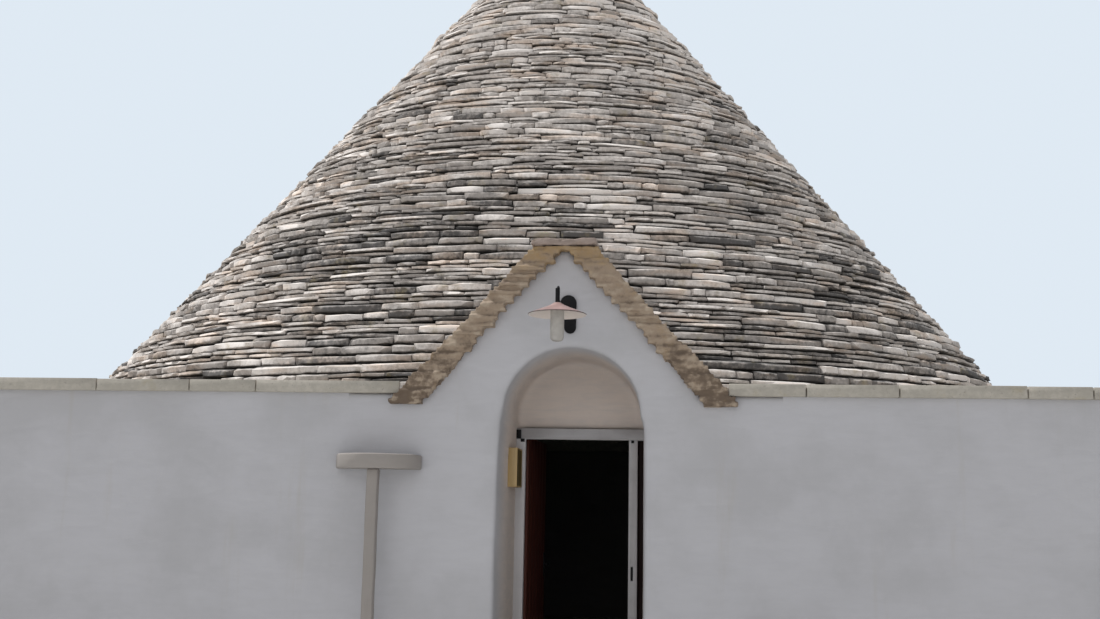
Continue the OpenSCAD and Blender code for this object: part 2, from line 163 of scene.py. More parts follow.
def length(label, text, default):
    """A length setting in metres."""
    return FloatProperty(name=label, description=text, unit="LENGTH",
                         min=0.0, default=default)


def angle(label, text, degrees):
    """An angle setting."""
    return FloatProperty(name=label, description=text, subtype="ANGLE",
                         default=math.radians(degrees))


class CameraSettings(bpy.types.PropertyGroup):
    """Where the street view is taken from."""

    place: FloatVectorProperty(name="Place", description="Camera's place",
                               subtype="TRANSLATION", default=(1.060, -12.288, 1.416))
    yaw: angle("Yaw", "Turn to the left", 5.19)
    pitch: angle("Pitch", "Tilt upwards", 9.50)
    roll: angle("Roll", "Lean of the camera", 1.04)
    lens: FloatProperty(name="Lens", description="Focal length on a 36 mm sensor",
                        default=39.27)


class StoneSettings(bpy.types.PropertyGroup):
    """Sizes of the loose stones."""

    slate_length: length("Slate length", "Mean length of a roof stone", 0.35)
    slate_depth: length("Slate depth", "Depth of a roof stone", 0.18)
    slate_gap: length("Slate gap", "Gap between neighbouring stones", 0.003)
    slate_wander: length("Slate wander", "How far a stone's face strays", 0.020)
    course_wave: length("Course wave", "How far the courses rise and sink", 0.024)
    course_climb: length("Course climb", "How far the courses climb to the sides", 0.28)
    flag_length: length("Flag length", "Mean length of an eaves slab", 0.62)
    flag_joint: length("Flag joint", "Width of the joint between slabs", 0.010)
    slate_double: FloatProperty(name="Thin layers", subtype="FACTOR", min=0.0, max=1.0,
                                description="Share of the courses in two thin layers",
                                default=0.48)
    seed: IntProperty(name="Seed", description="Start of the random draws", default=7)


class PlasterSettings(bpy.types.PropertyGroup):
    """Surface of the limewashed walls."""

    voxel: length("Voxel", "Grain of the moulded doorway", 0.022)
    grid: length("Grid", "Spacing of the plain walls' vertices", 0.14)
    swell: length("Swell", "Height of the long waves in the wall", 0.011)
    ripple: length("Ripple", "Height of the short waves in the wall", 0.0035)
    corner: length("Corner", "Radius of the walls' corners", 0.045)


class FinishSettings(bpy.types.PropertyGroup):
    """Colours of the finishes."""

    lime: colour("Limewash", "Clean limewash", 0.490, 0.482, 0.500)
    lime_shade: colour("Limewash shade", "Thin limewash", 0.435, 0.427, 0.438)
    lime_stain: colour("Limewash stain", "Rain marks and dust", 0.40, 0.36, 0.30)
    # Painted warm bounce light: the recess's limewash is warmer and paler than the walls',
    # standing in for light thrown up from the ground
    recess: colour("Recess_bounce_light", "Cream limewash of the recess", 0.655, 0.573, 0.515)
    slate_light: colour("Slate light", "Bleached faces", 0.80, 0.74, 0.69)
    slate_mid: colour("Slate", "Weathered limestone", 0.40, 0.362, 0.332)
    slate_dark: colour("Slate dark", "Old lichen crust", 0.095, 0.088, 0.084)
    slate_moss: colour("Slate lichen", "Ochre lichen", 0.36, 0.29, 0.15)
    coping_light: colour("Coping light", "Pale coping stone", 0.425, 0.343, 0.260)
    coping_mid: colour("Coping", "Buff coping stone", 0.318, 0.242, 0.175)
    coping_dark: colour("Coping dark", "Coping hollows", 0.14, 0.10, 0.07)
    ochre_stain: colour("Ochre stain", "Iron stain under the cap", 0.32, 0.212, 0.100)
    cap_light: colour("Cap light", "Pale flat slabs", 0.50, 0.46, 0.40)
    cap_mid: colour("Cap", "Flat slabs", 0.38, 0.35, 0.30)
    peak_light: colour("Gable slab light", "Pale part of the slab", 0.37, 0.295, 0.255)
    peak_mid: colour("Gable slab", "Slab on the gable's point", 0.28, 0.22, 0.188)
    timber: colour("Timber", "Dark door timber", 0.094, 0.029, 0.020)
    timber_light: colour("Timber light", "Timber's pale grain", 0.106, 0.034, 0.024)
    ochre: colour("Ochre wood", "Varnished box", 0.38, 0.26, 0.11)
    ochre_light: colour("Ochre wood light", "Box's pale grain", 0.48, 0.335, 0.155)
    aluminium: colour("White metal", "Coated aluminium", 0.505, 0.485, 0.49)
    # The shelf's limewash is darker and warmer than the walls': partly dirt on old lime, partly
    # painted shade
    shelf: colour("Shelf", "Old limewash on the shelf", 0.315, 0.285, 0.262)
    # The side of the box that faces the door is partly its own dark edge and partly painted
    # shade
    box_side: colour("Box side", "Olive brown side of the box", 0.150, 0.106, 0.036)
    iron: colour("Iron", "Black iron", 0.004, 0.0035, 0.004)
    enamel: colour("Shade outside", "Rosy enamel of the lamp", 0.35, 0.22, 0.20)
    enamel_in: colour("Shade inside", "Pale enamel of the lamp", 0.82, 0.72, 0.65)
    glass: colour("Glass", "Frosted glass", 0.52, 0.49, 0.45)
    floor: colour("Floor", "Ground under the house", 0.62, 0.62, 0.61)


class Trullo(bpy.types.PropertyGroup):
    """All the settings of the house."""

    camera: PointerProperty(type=CameraSettings)
    stones: PointerProperty(type=StoneSettings)
    plaster: PointerProperty(type=PlasterSettings)
    finish: PointerProperty(type=FinishSettings)


def settings():
    """The scene's settings for this house."""
    return bpy.context.scene.trullo


# Shader building


class Tree:
    """Short calls for the nodes of one shader tree."""

    def __init__(self, tree):
        self.tree = tree

    def put(self, kind, inputs=None, **values):
        """Adds a node, sets its values and feeds its inputs by their labels."""
        node = self.tree.nodes.new(kind)
        for name, value in values.items():
            setattr(node, name, value)
        self.fill(node, inputs or {})
        return node

    def fill(self, node, inputs):
        for label, value in inputs.items():
            self.feed(node.inputs[label], value)

    def feed(self, socket, value):
        """Links an output to a socket, or sets the socket to a number or a colour."""
        if isinstance(value, bpy.types.NodeSocket):
            self.tree.links.new(value, socket)
        elif hasattr(value, "__len__") and len(value) < len(socket.default_value):
            socket.default_value = (*value, 1.0)
        else:
            socket.default_value = value

    def coords(self, scale=(1.0, 1.0, 1.0)):
        place = self.put("ShaderNodeTexCoord").outputs["Object"]
        mapping = self.put("ShaderNodeMapping", {"Vector": place, "Scale": scale})
        return mapping.outputs["Vector"]

    def axes(self):
        """The three coordinates of the shaded place."""
        return self.put("ShaderNodeSeparateXYZ", {"Vector": self.coords()}).outputs

    def own(self, name):
        """A value that the mesh carries."""
        return self.put("ShaderNodeAttribute", attribute_name=name).outputs["Fac"]

    def noise(self, scale, detail=4.0, rough=0.55, bend=0.0):
        """Noise of one scale, or of one along each axis."""
        place = self.coords(scale if isinstance(scale, tuple) else (scale,) * 3)
        node = self.put("ShaderNodeTexNoise", {
            "Vector": place, "Scale": 1.0, "Detail": detail, "Roughness": rough,
            "Distortion": bend})
        return node.outputs["Fac"]

    def span(self, value, low, high, to_low=0.0, to_high=1.0):
        """A smooth step between two values."""
        node = self.put("ShaderNodeMapRange", {
            "Value": value, "From Min": low, "From Max": high, "To Min": to_low,
            "To Max": to_high}, interpolation_type="SMOOTHSTEP")
        return node.outputs["Result"]

    def maths(self, kind, value, *others):
        """Runs an operation through all the values, one after the other."""
        for other in others or (0.0,):
            node = self.put("ShaderNodeMath", operation=kind)
            self.feed(node.inputs[0], value)
            self.feed(node.inputs[1], other)
            value = node.outputs[0]
        return value

    def add(self, *values):
        return self.maths("ADD", *values)

    def times(self, *values):
        return self.maths("MULTIPLY", *values)

    def swing(self, value, by):
        """How far a noise lies from its middle, times a weight."""
        return self.times(self.maths("SUBTRACT", value, 0.5), by)

    def stack(self, *parts):
        """The sum of values, each times its weight."""
        return self.add(*(self.times(value, weight) for value, weight in parts))

    def blend(self, fac, a, b, kind="MIX"):
        node = self.put("ShaderNodeMix", data_type="RGBA", blend_type=kind)
        self.fill(node, {"Factor": fac, "A": a, "B": b})
        return node.outputs["Result"]


def surface_group(name, colours, numbers, build):
    """A node group with colour, roughness and height outputs, built once."""
    known = bpy.data.node_groups.get(name)
    if known:
        return known
    tree = bpy.data.node_groups.new(name, "ShaderNodeTree")
    for way, kind, labels in (("INPUT", "NodeSocketColor", colours),
                              ("INPUT", "NodeSocketFloat", numbers),
                              ("OUTPUT", "NodeSocketColor", ("Color",)),
                              ("OUTPUT", "NodeSocketFloat", ("Roughness", "Height"))):
        for label in labels:
            tree.interface.new_socket(label, in_out=way, socket_type=kind)
    given = tree.nodes.new("NodeGroupInput").outputs
    result = tree.nodes.new("NodeGroupOutput")
    for socket, value in zip(result.inputs, build(Tree(tree), given)):
        tree.links.new(value, socket)
    return tree


def stone_surface():
    """Weathered limestone whose tone follows each stone's own value.

    Own tone is for a mesh that carries no tones.
    """

    def build(t, given):
        cloud = t.noise(2.2, 5.0, 0.6)
        mottle = t.noise(26.0, 6.0, 0.68)
        grit = t.noise(160.0, 3.0, 0.6)
        strata = t.noise((3.0, 3.0, 60.0), 4.0, 0.6)
        tone = t.add(t.own("tone"), given["Own tone"], t.swing(mottle, 0.9),
                     t.swing(cloud, 0.5))
        col = t.blend(t.span(tone, 0.42, 0.95), given["Mid"], given["Light"])
        col = t.blend(t.span(tone, 0.44, 0.02), col, given["Dark"])
        # On the roof stones this value is highest at their top front edges, so the lightening
        # below is partly wear and partly a painted highlight
        wear_and_highlight = t.add(t.own("worn"), given["Own tone"], t.swing(mottle, 0.5))
        col = t.blend(t.span(wear_and_highlight, 0.76, 1.02, 0.0, 0.6), col, given["Light"])
        # Where the value is low, at the back of the stones down in the gaps between courses,
        # the colour turns near black: partly dirt, partly painted shade
        dirt_and_gap_shade = t.span(wear_and_highlight, 0.60, 0.12, 0.0, given["Dirt_and_gap_shade"])
        col = t.blend(dirt_and_gap_shade, col, (0.018, 0.015, 0.012))
        warmth = t.span(t.noise((2.6, 2.6, 11.0), 4.0, 0.6), 0.48, 0.66,
                        0.0, given["Warmth"])
        col = t.blend(warmth, col, t.blend(1.0, col, (1.0, 0.87, 0.76), "MULTIPLY"))
        moss = t.times(t.span(t.noise(5.0, 6.0, 0.7), 0.56, 0.72), given["Lichen amount"])
        col = t.blend(moss, col, given["Lichen"])
        stain = t.times(t.own("stain"), t.span(mottle, 0.25, 0.6, 0.45, 1.0))
        col = t.blend(stain, col, given["Lichen"])
        spots = t.span(t.noise(70.0, 4.0, 0.7), 0.60, 0.72, 0.0, 0.55)
        col = t.blend(spots, col, given["Dark"])
        height = t.stack((mottle, 0.55), (grit, 0.14), (strata, 0.5))
        return col, t.span(mottle, 0.2, 0.8, 0.82, 0.97), height

    return surface_group("stone_surface", ("Light", "Mid", "Dark", "Lichen"),
                         ("Lichen amount", "Dirt_and_gap_shade", "Own tone", "Warmth"), build)


def lime_surface():
    """Brushed limewash over hidden stones, with thin patches, rain marks and dust.

    The recess takes a warmer, paler colour as painted bounce light, and the room's side of the
    walls is painted dark as shade.
    """

    def build(t, given):
        x, y, z = t.axes()
        brush = t.noise((5.0, 5.0, 24.0), 5.0, 0.62, 0.6)
        cross = t.noise((20.0, 20.0, 4.0), 4.0, 0.6, 0.8)
        grain = t.noise(85.0, 4.0, 0.6)
        lumps = t.noise(7.5, 3.0, 0.5)
        stones = t.put("ShaderNodeTexVoronoi", feature="DISTANCE_TO_EDGE")
        t.fill(stones, {"Vector": t.coords((2.3, 2.3, 4.2)), "Scale": 1.0})
        joints = t.span(stones.outputs["Distance"], 0.0, 0.16)
        patches = t.span(t.noise(1.1, 5.0, 0.6), 0.42, 0.66)
        col = t.blend(patches, given["White"], given["Thin"])
        strokes = t.span(brush, 0.35, 0.75, 0.0, 0.28)
        col = t.blend(strokes, col, given["Thin"])
        rain = t.times(t.span(t.noise((7.0, 7.0, 0.55), 5.0, 0.65), 0.58, 0.78),
                       given["Stain amount"])
        splash = t.span(t.add(z, t.swing(lumps, 0.5)), 0.32, -0.05, 0.0, 0.55)
        col = t.blend(t.maths("MAXIMUM", rain, splash), col, given["Stain"])
        flecks = t.span(t.noise(34.0, 5.0, 0.7), 0.66, 0.78, 0.0, 0.22)
        col = t.blend(flecks, col, given["Stain"])
        aside = t.maths("ABSOLUTE", t.maths("SUBTRACT", x, GABLE_X))
        # Painted bounce light: inside the doorway's recess the limewash turns to the warmer,
        # paler recess colour
        recess = t.times(t.span(y, FRONT_Y + 0.02, FRONT_Y + 0.45),
                         t.span(y, -ROOM_HALF - 0.4, -ROOM_HALF - 0.6),
                         t.span(aside, 0.9, 0.7))
        col = t.blend(recess, col, t.blend(strokes, given["Recess_bounce_light"], given["Thin"]))
        # Painted shade: on the room's side of the walls, below the wall top, the colour is
        # blended most of the way to near black, standing in for the dark inside the house
        sides = (t.span(t.maths("ABSOLUTE", axis), ROOM_HALF + 0.5, ROOM_HALF + 0.4)
                 for axis in (x, y))
        room = t.times(t.span(z, WALL_TOP + 0.2, WALL_TOP + 0.1), *sides, 0.8)
        col = t.blend(room, col, (0.07, 0.06, 0.05))
        height = t.stack((brush, 0.5), (cross, 0.35), (grain, 0.10), (lumps, 0.9),
                         (joints, 0.55))
        return col, t.span(brush, 0.2, 0.8, 0.80, 0.95), height

    return surface_group("lime_surface", ("White", "Thin", "Stain", "Recess_bounce_light"),
                         ("Stain amount",), build)


def timber_surface():
    """Long grain that runs up the piece, with dark pores and a scuffed film."""

    def build(t, given):
        grain = t.noise((26.0, 26.0, 1.3), 6.0, 0.6, 1.2)
        pores = t.noise((190.0, 190.0, 5.0), 3.0, 0.6)
        rings = t.noise((9.0, 9.0, 0.5), 3.0, 0.5, 1.8)
        col = t.blend(t.span(grain, 0.32, 0.70), given["Dark"], given["Light"])
        col = t.blend(t.span(rings, 0.5, 0.75, 0.0, 0.45), col, given["Dark"])
        col = t.blend(t.span(pores, 0.62, 0.75, 0.0, 0.5), col, given["Dark"])
        height = t.stack((grain, 0.6), (pores, 0.4))
        return col, t.span(grain, 0.2, 0.8, 0.38, 0.62), height

    return surface_group("timber_surface", ("Light", "Dark"), (), build)


def coated_surface():
    """Painted or coated metal with dust, small chips and a slight orange peel."""

    def build(t, given):
        dust = t.noise(9.0, 5.0, 0.62)
        chips = t.noise(120.0, 4.0, 0.65)
        peel = t.noise(420.0, 2.0, 0.5)
        col = t.blend(t.span(dust, 0.45, 0.75, 0.0, 0.5), given["Paint"], given["Dust"])
        col = t.blend(t.span(chips, 0.68, 0.74, 0.0, 0.7), col, given["Chip"])
        height = t.stack((peel, 0.3), (chips, -0.2))
        return col, t.span(dust, 0.3, 0.8, 0.34, 0.6), height

    return surface_group("coated_surface", ("Paint", "Dust", "Chip"), (), build)


def new_material(name):
    """A new material, its tree and its shader."""
    mat = bpy.data.materials.new(name)
    mat.use_nodes = True
    return mat, Tree(mat.node_tree), mat.node_tree.nodes["Principled BSDF"]


def finish_material(name, group, bump, depth, values, shader):
    """A material whose colour, roughness and bump come from a surface group.

    The values fill the group's inputs in their order.
    """
    mat, t, bsdf = new_material(name)
    node = t.put("ShaderNodeGroup", node_tree=group)
    for socket, value in zip(node.inputs, values):
        t.feed(socket, value)
    relief = t.put("ShaderNodeBump", {"Strength": bump, "Distance": depth,
                                      "Height": node.outputs["Height"]})
    t.fill(bsdf, {"Base Color": node.outputs["Color"],
                  "Roughness": node.outputs["Roughness"],
                  "Normal": relief.outputs["Normal"], **shader})
    return mat


def frosted_glass(name, colour):
    """Etched white glass."""
    mat, t, bsdf = new_material(name)
    cloud = t.noise(30.0)
    col = t.blend(t.span(cloud, 0.3, 0.7), colour, *shades(colour, 0.86))
    t.fill(bsdf, {"Transmission Weight": 0.25, "IOR": 1.45, "Base Color": col,
                  "Roughness": t.span(cloud, 0.2, 0.8, 0.38, 0.6)})
    return mat


def shades(colour, *factors):
    """Darker or lighter tones of a colour."""
    return tuple(tuple(min(1.0, part * by) for part in colour) for by in factors)


MADE = {}


def materials():
    """All the finishes by name, made on the first call."""
    if MADE:
        return MADE
    f = settings().finish
    stone, lime = stone_surface(), lime_surface()
    timber, coated = timber_surface(), coated_surface()
    dull, coat = "Specular IOR Level", "Coat Weight"
    # Each row holds the name, surface, bump, bump's depth, surface's inputs and gloss
    for name, *row in (
            ("slate", stone, 0.6, 0.008,
             (f.slate_light, f.slate_mid, f.slate_dark, f.slate_moss, 0.45, 0.9, 0.0, 0.7), {}),
            ("coping_stone", stone, 0.8, 0.010,
             (f.coping_light, f.coping_mid, f.coping_dark, f.ochre_stain, 0.45), {}),
            ("cap_stone", stone, 0.6, 0.008,
             (f.cap_light, f.cap_mid, f.slate_dark, f.slate_moss, 0.30), {}),
            ("gable_slab", stone, 0.6, 0.008,
             (f.peak_light, f.peak_mid, f.coping_dark, f.ochre_stain, 0.25), {}),
            ("dome_stone", stone, 0.6, 0.008,
             (f.cap_light, *shades(f.cap_mid, 0.8), f.slate_dark, f.cap_mid,
              0.2, 0.0, 0.5), {}),
            ("limewash", lime, 0.55, 0.006,
             (f.lime, f.lime_shade, f.lime_stain, f.recess, 0.28), {}),
            # Limewash for the shelf, darkened partly by dirt and partly as painted shade
            ("old_limewash", lime, 0.5, 0.005,
             (*shades(f.shelf, 1.0, 0.92, 0.75, 1.0), 0.5), {}),
            ("pinnacle_lime", lime, 0.55, 0.005,
             (*shades(f.lime, 1.05), f.lime_shade, f.lime_stain, f.lime, 0.45), {}),
            ("door_timber", timber, 0.35, 0.002, (f.timber_light, f.timber), {dull: 0.15}),
            # The frame's timber is the door's timber darkened to about an eighth: painted shade
            # in the dark gap beside the screen
            ("frame_timber", timber, 0.35, 0.002,
             (*shades(f.timber_light, 0.12), *shades(f.timber, 0.12)), {dull: 0.1}),
            ("ochre_wood", timber, 0.3, 0.002, (f.ochre_light, f.ochre), {}),
            # The box's side: its own dark edge together with painted shade
            ("box_side_wood", timber, 0.3, 0.002, shades(f.box_side, 1.0, 0.6), {dull: 0.2}),
            ("white_aluminium", coated, 0.12, 0.001, shades(f.aluminium, 1.0, 0.8, 0.55), {}),
            # The guide's head takes the white metal at two thirds of its tone: painted shade
            # under the arch
            ("white_head_aluminium", coated, 0.12, 0.001,
             shades(f.aluminium, 0.66, 0.528, 0.363), {}),
            # The pull bar takes the white metal at four fifths of its tone: painted shade
            ("white_bar_aluminium", coated, 0.12, 0.001,
             shades(f.aluminium, 0.80, 0.64, 0.44), {}),
            ("black_iron", coated, 0.25, 0.001,
             (*shades(f.iron, 1.0, 1.8), (0.05, 0.025, 0.015)), {dull: 0.12}),
            ("rosy_enamel", coated, 0.12, 0.001, shades(f.enamel, 1.0, 1.5, 0.35),
             {coat: 0.35}),
            ("pale_enamel", coated, 0.12, 0.001, shades(f.enamel_in, 1.0, 0.8, 0.5),
             {coat: 0.3}),
            ("worn_rim", coated, 0.2, 0.001, (*shades(f.enamel, 0.22, 0.4), f.iron), {})):
        MADE[name] = finish_material(name, *row)
    MADE["frosted_glass"] = frosted_glass("frosted_glass", f.glass)
    return MADE


# Mesh building


def finish_piece(name, shape, finishes, replaces=(), body="house", smooth=40):
    """Turns a bmesh or a mesh into a named piece that rides on its body."""
    mesh = shape
    if isinstance(shape, bmesh.types.BMesh):
        mesh = mesh_from(name, shape)
    for finish in finishes:
        mesh.materials.append(materials()[finish])
    mesh.shade_smooth()
    mesh.set_sharp_from_angle(angle=math.radians(smooth))
    piece = bpy.data.objects.new(name, mesh)
    bpy.context.scene.collection.objects.link(piece)
    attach(piece, body)
    if replaces:
        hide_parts(*replaces)


def mesh_from(name, bm):
    """A new mesh with a bmesh's shape; the bmesh is freed."""
    mesh = bpy.data.meshes.new(name)
    bm.to_mesh(mesh)
    bm.free()
    return mesh


def rounded_copy(name, node, finish, width, segments=2, sharp=30.0, body="house"):
    """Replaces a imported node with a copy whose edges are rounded."""
    bm = soften(copy_of(node), width, segments, sharp)
    finish_piece(name, bm, (finish,), (node,), body)


def paint(finish, *nodes):
    """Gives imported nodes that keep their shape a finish."""
    for node in nodes:
        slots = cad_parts[node].data.materials
        slots.clear()
        slots.append(materials()[finish])


def copy_of(*nodes):
    """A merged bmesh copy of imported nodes, with flat faces joined."""
    bm = bmesh.new()
    for node in nodes:
        bm.from_mesh(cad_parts[node].data)
    bmesh.ops.remove_doubles(bm, verts=bm.verts, dist=1e-5)
    bmesh.ops.dissolve_limit(bm, angle_limit=math.radians(0.5), verts=bm.verts,
                             edges=bm.edges)
    return bm


def bevel(bm, edges, width, segments):
    bmesh.ops.bevel(bm, geom=edges, offset=width, offset_type="OFFSET", segments=segments,
                    profile=0.5, affect="EDGES", material=-1, clamp_overlap=True)


def soften(bm, width, segments=2, sharp=30.0):
    """Rounds every edge that turns by more than the sharp angle."""
    edges = [e for e in bm.edges if len(e.link_faces) == 2
             and e.calc_face_angle(0.0) > math.radians(sharp)]
    bevel(bm, edges, width, segments)
    return bm


def box(corner, other, bm=None):
    """Adds a plain box between two opposite corners."""
    bm = bm or bmesh.new()
    low = Vector([*map(min, corner, other)])
    high = Vector([*map(max, corner, other)])
    matrix = Matrix.Translation((low + high) / 2) @ Matrix.Diagonal((*(high - low), 1.0))
    bmesh.ops.create_cube(bm, size=1.0, matrix=matrix)
    return bm


def cut_at(bm, place, normal, near=1e-5, **more):
    """Cuts a whole mesh at a plane."""
    geom = bm.verts[:] + bm.edges[:] + bm.faces[:]
    return bmesh.ops.bisect_plane(bm, geom=geom, dist=near, plane_co=place,
                                  plane_no=normal, **more)


def cut_grid(bm, spacing, axes=(0, 1, 2)):
    """Cuts every face at evenly spaced planes across the given axes."""
    for axis in axes:
        values = [v.co[axis] for v in bm.verts]
        low, high = min(values), max(values)
        count = max(1, round((high - low) / spacing))
        for k in range(1, count):
            cut_at(bm, AXES[axis] * (low + (high - low) * k / count), AXES[axis])


def arrays(bm):
    """Places and corners of a bmesh's triangles; the bmesh is freed."""
    bm.verts.index_update()
    places = np.array([v.co[:] for v in bm.verts])
    faces = np.array([[v.index for v in f.verts] for f in bm.faces])
    bm.free()
    return places, faces


def undulate(bm, p, seams, top):
    """Moves each vertex along its normal by the plaster's waves.

    At the seams and the top it moves across the wall alone, so that the
    neighbouring pieces still meet.
    """
    bm.normal_update()
    for v in bm.verts:
        normal = v.normal.copy()
        if min(abs(v.co.x - seam) for seam in seams) < 0.002:
            normal.x = 0.0
        if abs(v.co.z - top) < 0.002:
            normal.z = 0.0
        if v.co.z < 0.01 or normal.length <= 0.1:
            continue
        slow = noise.fractal(v.co * 0.75, 1.0, 2.0, 2)
        quick = noise.fractal(v.co * 3.1 + Vector((7.0, 3.0, 1.0)), 1.0, 2.0, 2)
        wave = slow * p.swell + quick * p.ripple
        v.co += normal.normalized() * wave * calm(v.co)


def calm(co):
    """Damps the plaster's waves where the screen and the door frame meet it."""
    if abs(co.x - GABLE_X) > 0.7 or co.y > -ROOM_HALF - 0.4:
        return 1.0
    return clip((SCREEN_LOW.y - 0.05 - co.y) / 0.2, 0.1)


# Stones


def stone_shapes(rng, count):
    """Hand-split slabs: length -0.5 to 0.5, depth -1 to 0 and height 0 to 1."""
    shapes = []
    for _ in range(count):
        bm = box((-0.5, -1.0, 0.0), (0.5, 0.0, 1.0))
        for x in (-0.18, 0.18):
            cut_at(bm, AXES[0] * (x + rng.uniform(-0.1, 0.1)), AXES[0])
        cut_at(bm, AXES[1] * -LIP, AXES[1])
        outline = [e for e in bm.edges if all(v.co.y > -0.01 for v in e.verts)
                   and e.calc_face_angle(0.0) > 0.5]
        bevel(bm, outline, 0.12, 1)
        lift, drop = rng.uniform(0.05, 0.19), rng.uniform(0.09, 0.28)
        taper = rng.uniform(0.02, 0.45, 2)
        worn = []
        for v in bm.verts:
            near = fade(v.co.y, LIP)
            # Highest at the top of the front face and lowest at the back: it drives a painted
            # highlight on the top edges and painted shade in the gaps
            worn.append(near * (0.35 + 0.65 * v.co.z))
            v.co.z = v.co.z * (1.0 - near * (lift + drop)) + near * lift
            end = near * taper[int(v.co.x > 0)] * abs(2.0 * v.co.x) ** 3
            v.co.z += (0.42 - v.co.z) * end
            v.co.y -= end * 0.25
            if near > 0.0:
                v.co.x += rng.uniform(-0.02, 0.02)
                v.co.y += rng.uniform(-0.07, 0.03)
                v.co.z += rng.uniform(-0.06, 0.06)
        bmesh.ops.triangulate(bm, faces=bm.faces)
        shapes.append((*arrays(bm), np.array(worn)))
    return shapes


class Heap:
    """Collects many stones into one mesh."""

    def __init__(self):
        self.stones = []
        self.count = 0

    def add(self, places, faces, tone, worn=0.8):
        self.stones.append((places, faces + self.count, np.full(len(places), tone),
                            np.full(len(places), worn)))
        self.count += len(places)

    def mesh(self, name):
        mesh = bpy.data.meshes.new(name)
        places, faces, *values = map(np.concatenate, zip(*self.stones))
        mesh.from_pydata(places.tolist(), [], faces.tolist())
        for label, value in zip(("tone", "worn"), values):
            mesh.attributes.new(label, "FLOAT", "POINT")
            mesh.attributes[label].data.foreach_set("value", value)
        mesh.update()
        return mesh


def stone_lengths(rng, total, mean):
    """Random lengths that fill a total, none of them a sliver."""
    lengths = []
    left = total
    while left > 0:
        size = mean * float(np.clip(rng.lognormal(-0.10, 0.46), 0.35, 2.6))
        lengths.append(size)
        left -= size
    return np.array(lengths) * (total / sum(lengths))


def rough_block(rng, corner, other, round_by, cuts=2, stray=0.006):
    """One hand-dressed block as places and faces."""
    bm = soften(box(corner, other), round_by)
    bmesh.ops.subdivide_edges(bm, edges=[e for e in bm.edges if e.calc_length() > 0.05],
                              cuts=cuts, use_grid_fill=True)
    bmesh.ops.triangulate(bm, faces=bm.faces)
    shift = Vector(rng.uniform(-50, 50, 3))
    for v in bm.verts:
        v.co += noise.noise_vector(v.co * 9.0 + shift) * stray
        v.co += noise.noise_vector(v.co * 31.0 + shift) * stray * 0.4
    return arrays(bm)


def grown_together(mesh, voxel):
    """Remeshes loose blocks as one skin and removes the loose mesh."""
    rough = bpy.data.objects.new("loose", mesh)
    bpy.context.scene.collection.objects.link(rough)
    grain = rough.modifiers.new("grown", "REMESH")
    grain.mode = "VOXEL"
    grain.voxel_size = voxel
    grain.adaptivity = 0.0
    bpy.context.view_layer.update()
    depsgraph = bpy.context.evaluated_depsgraph_get()
    skin = bpy.data.meshes.new_from_object(rough.evaluated_get(depsgraph))
    bpy.data.objects.remove(rough)
    bpy.data.meshes.remove(mesh)
    bm = bmesh.new()
    bm.from_mesh(skin)
    bpy.data.meshes.remove(skin)
    return bm


def weather(bm, depth, low, high, moods, stain_from=math.inf):
    """Pits and rounds a stone skin, tones it, and keeps it inside a box.

    The tone runs through the moods from the foot over the middle to the head, and
    above the height stain_from the stone is stained.
    """
    bm.normal_update()
    tone, worn, stain = (bm.verts.layers.float.new(name)
                         for name in ("tone", "worn", "stain"))
    for v in bm.verts:
        layers = Vector((v.co.x * 9.0, v.co.y * 9.0, v.co.z * 20.0))
        lumps = noise.fractal(layers, 0.8, 2.1, 4)
        pits = max(0.0, noise.noise(v.co * 38.0) - 0.15)
        level = (v.co.z - low.z) / (high.z - low.z)
        mood = float(np.interp(level, (0.1, 0.5, 0.9), moods))
        v[tone] = clip(mood - 0.25 * max(0.0, v.normal.z) + 0.35 * lumps)
        v[worn] = clip(0.75 + 0.4 * lumps - pits, 0.3)
        v[stain] = clip((v.co.z - stain_from) * 7.0 + lumps * 0.8, 0.0, 0.85)
        v.co += v.normal * (depth * (0.8 * lumps - 1.2 * pits - 0.35))
        v.co = [clip(v.co[axis], low[axis], high[axis]) for axis in range(3)]


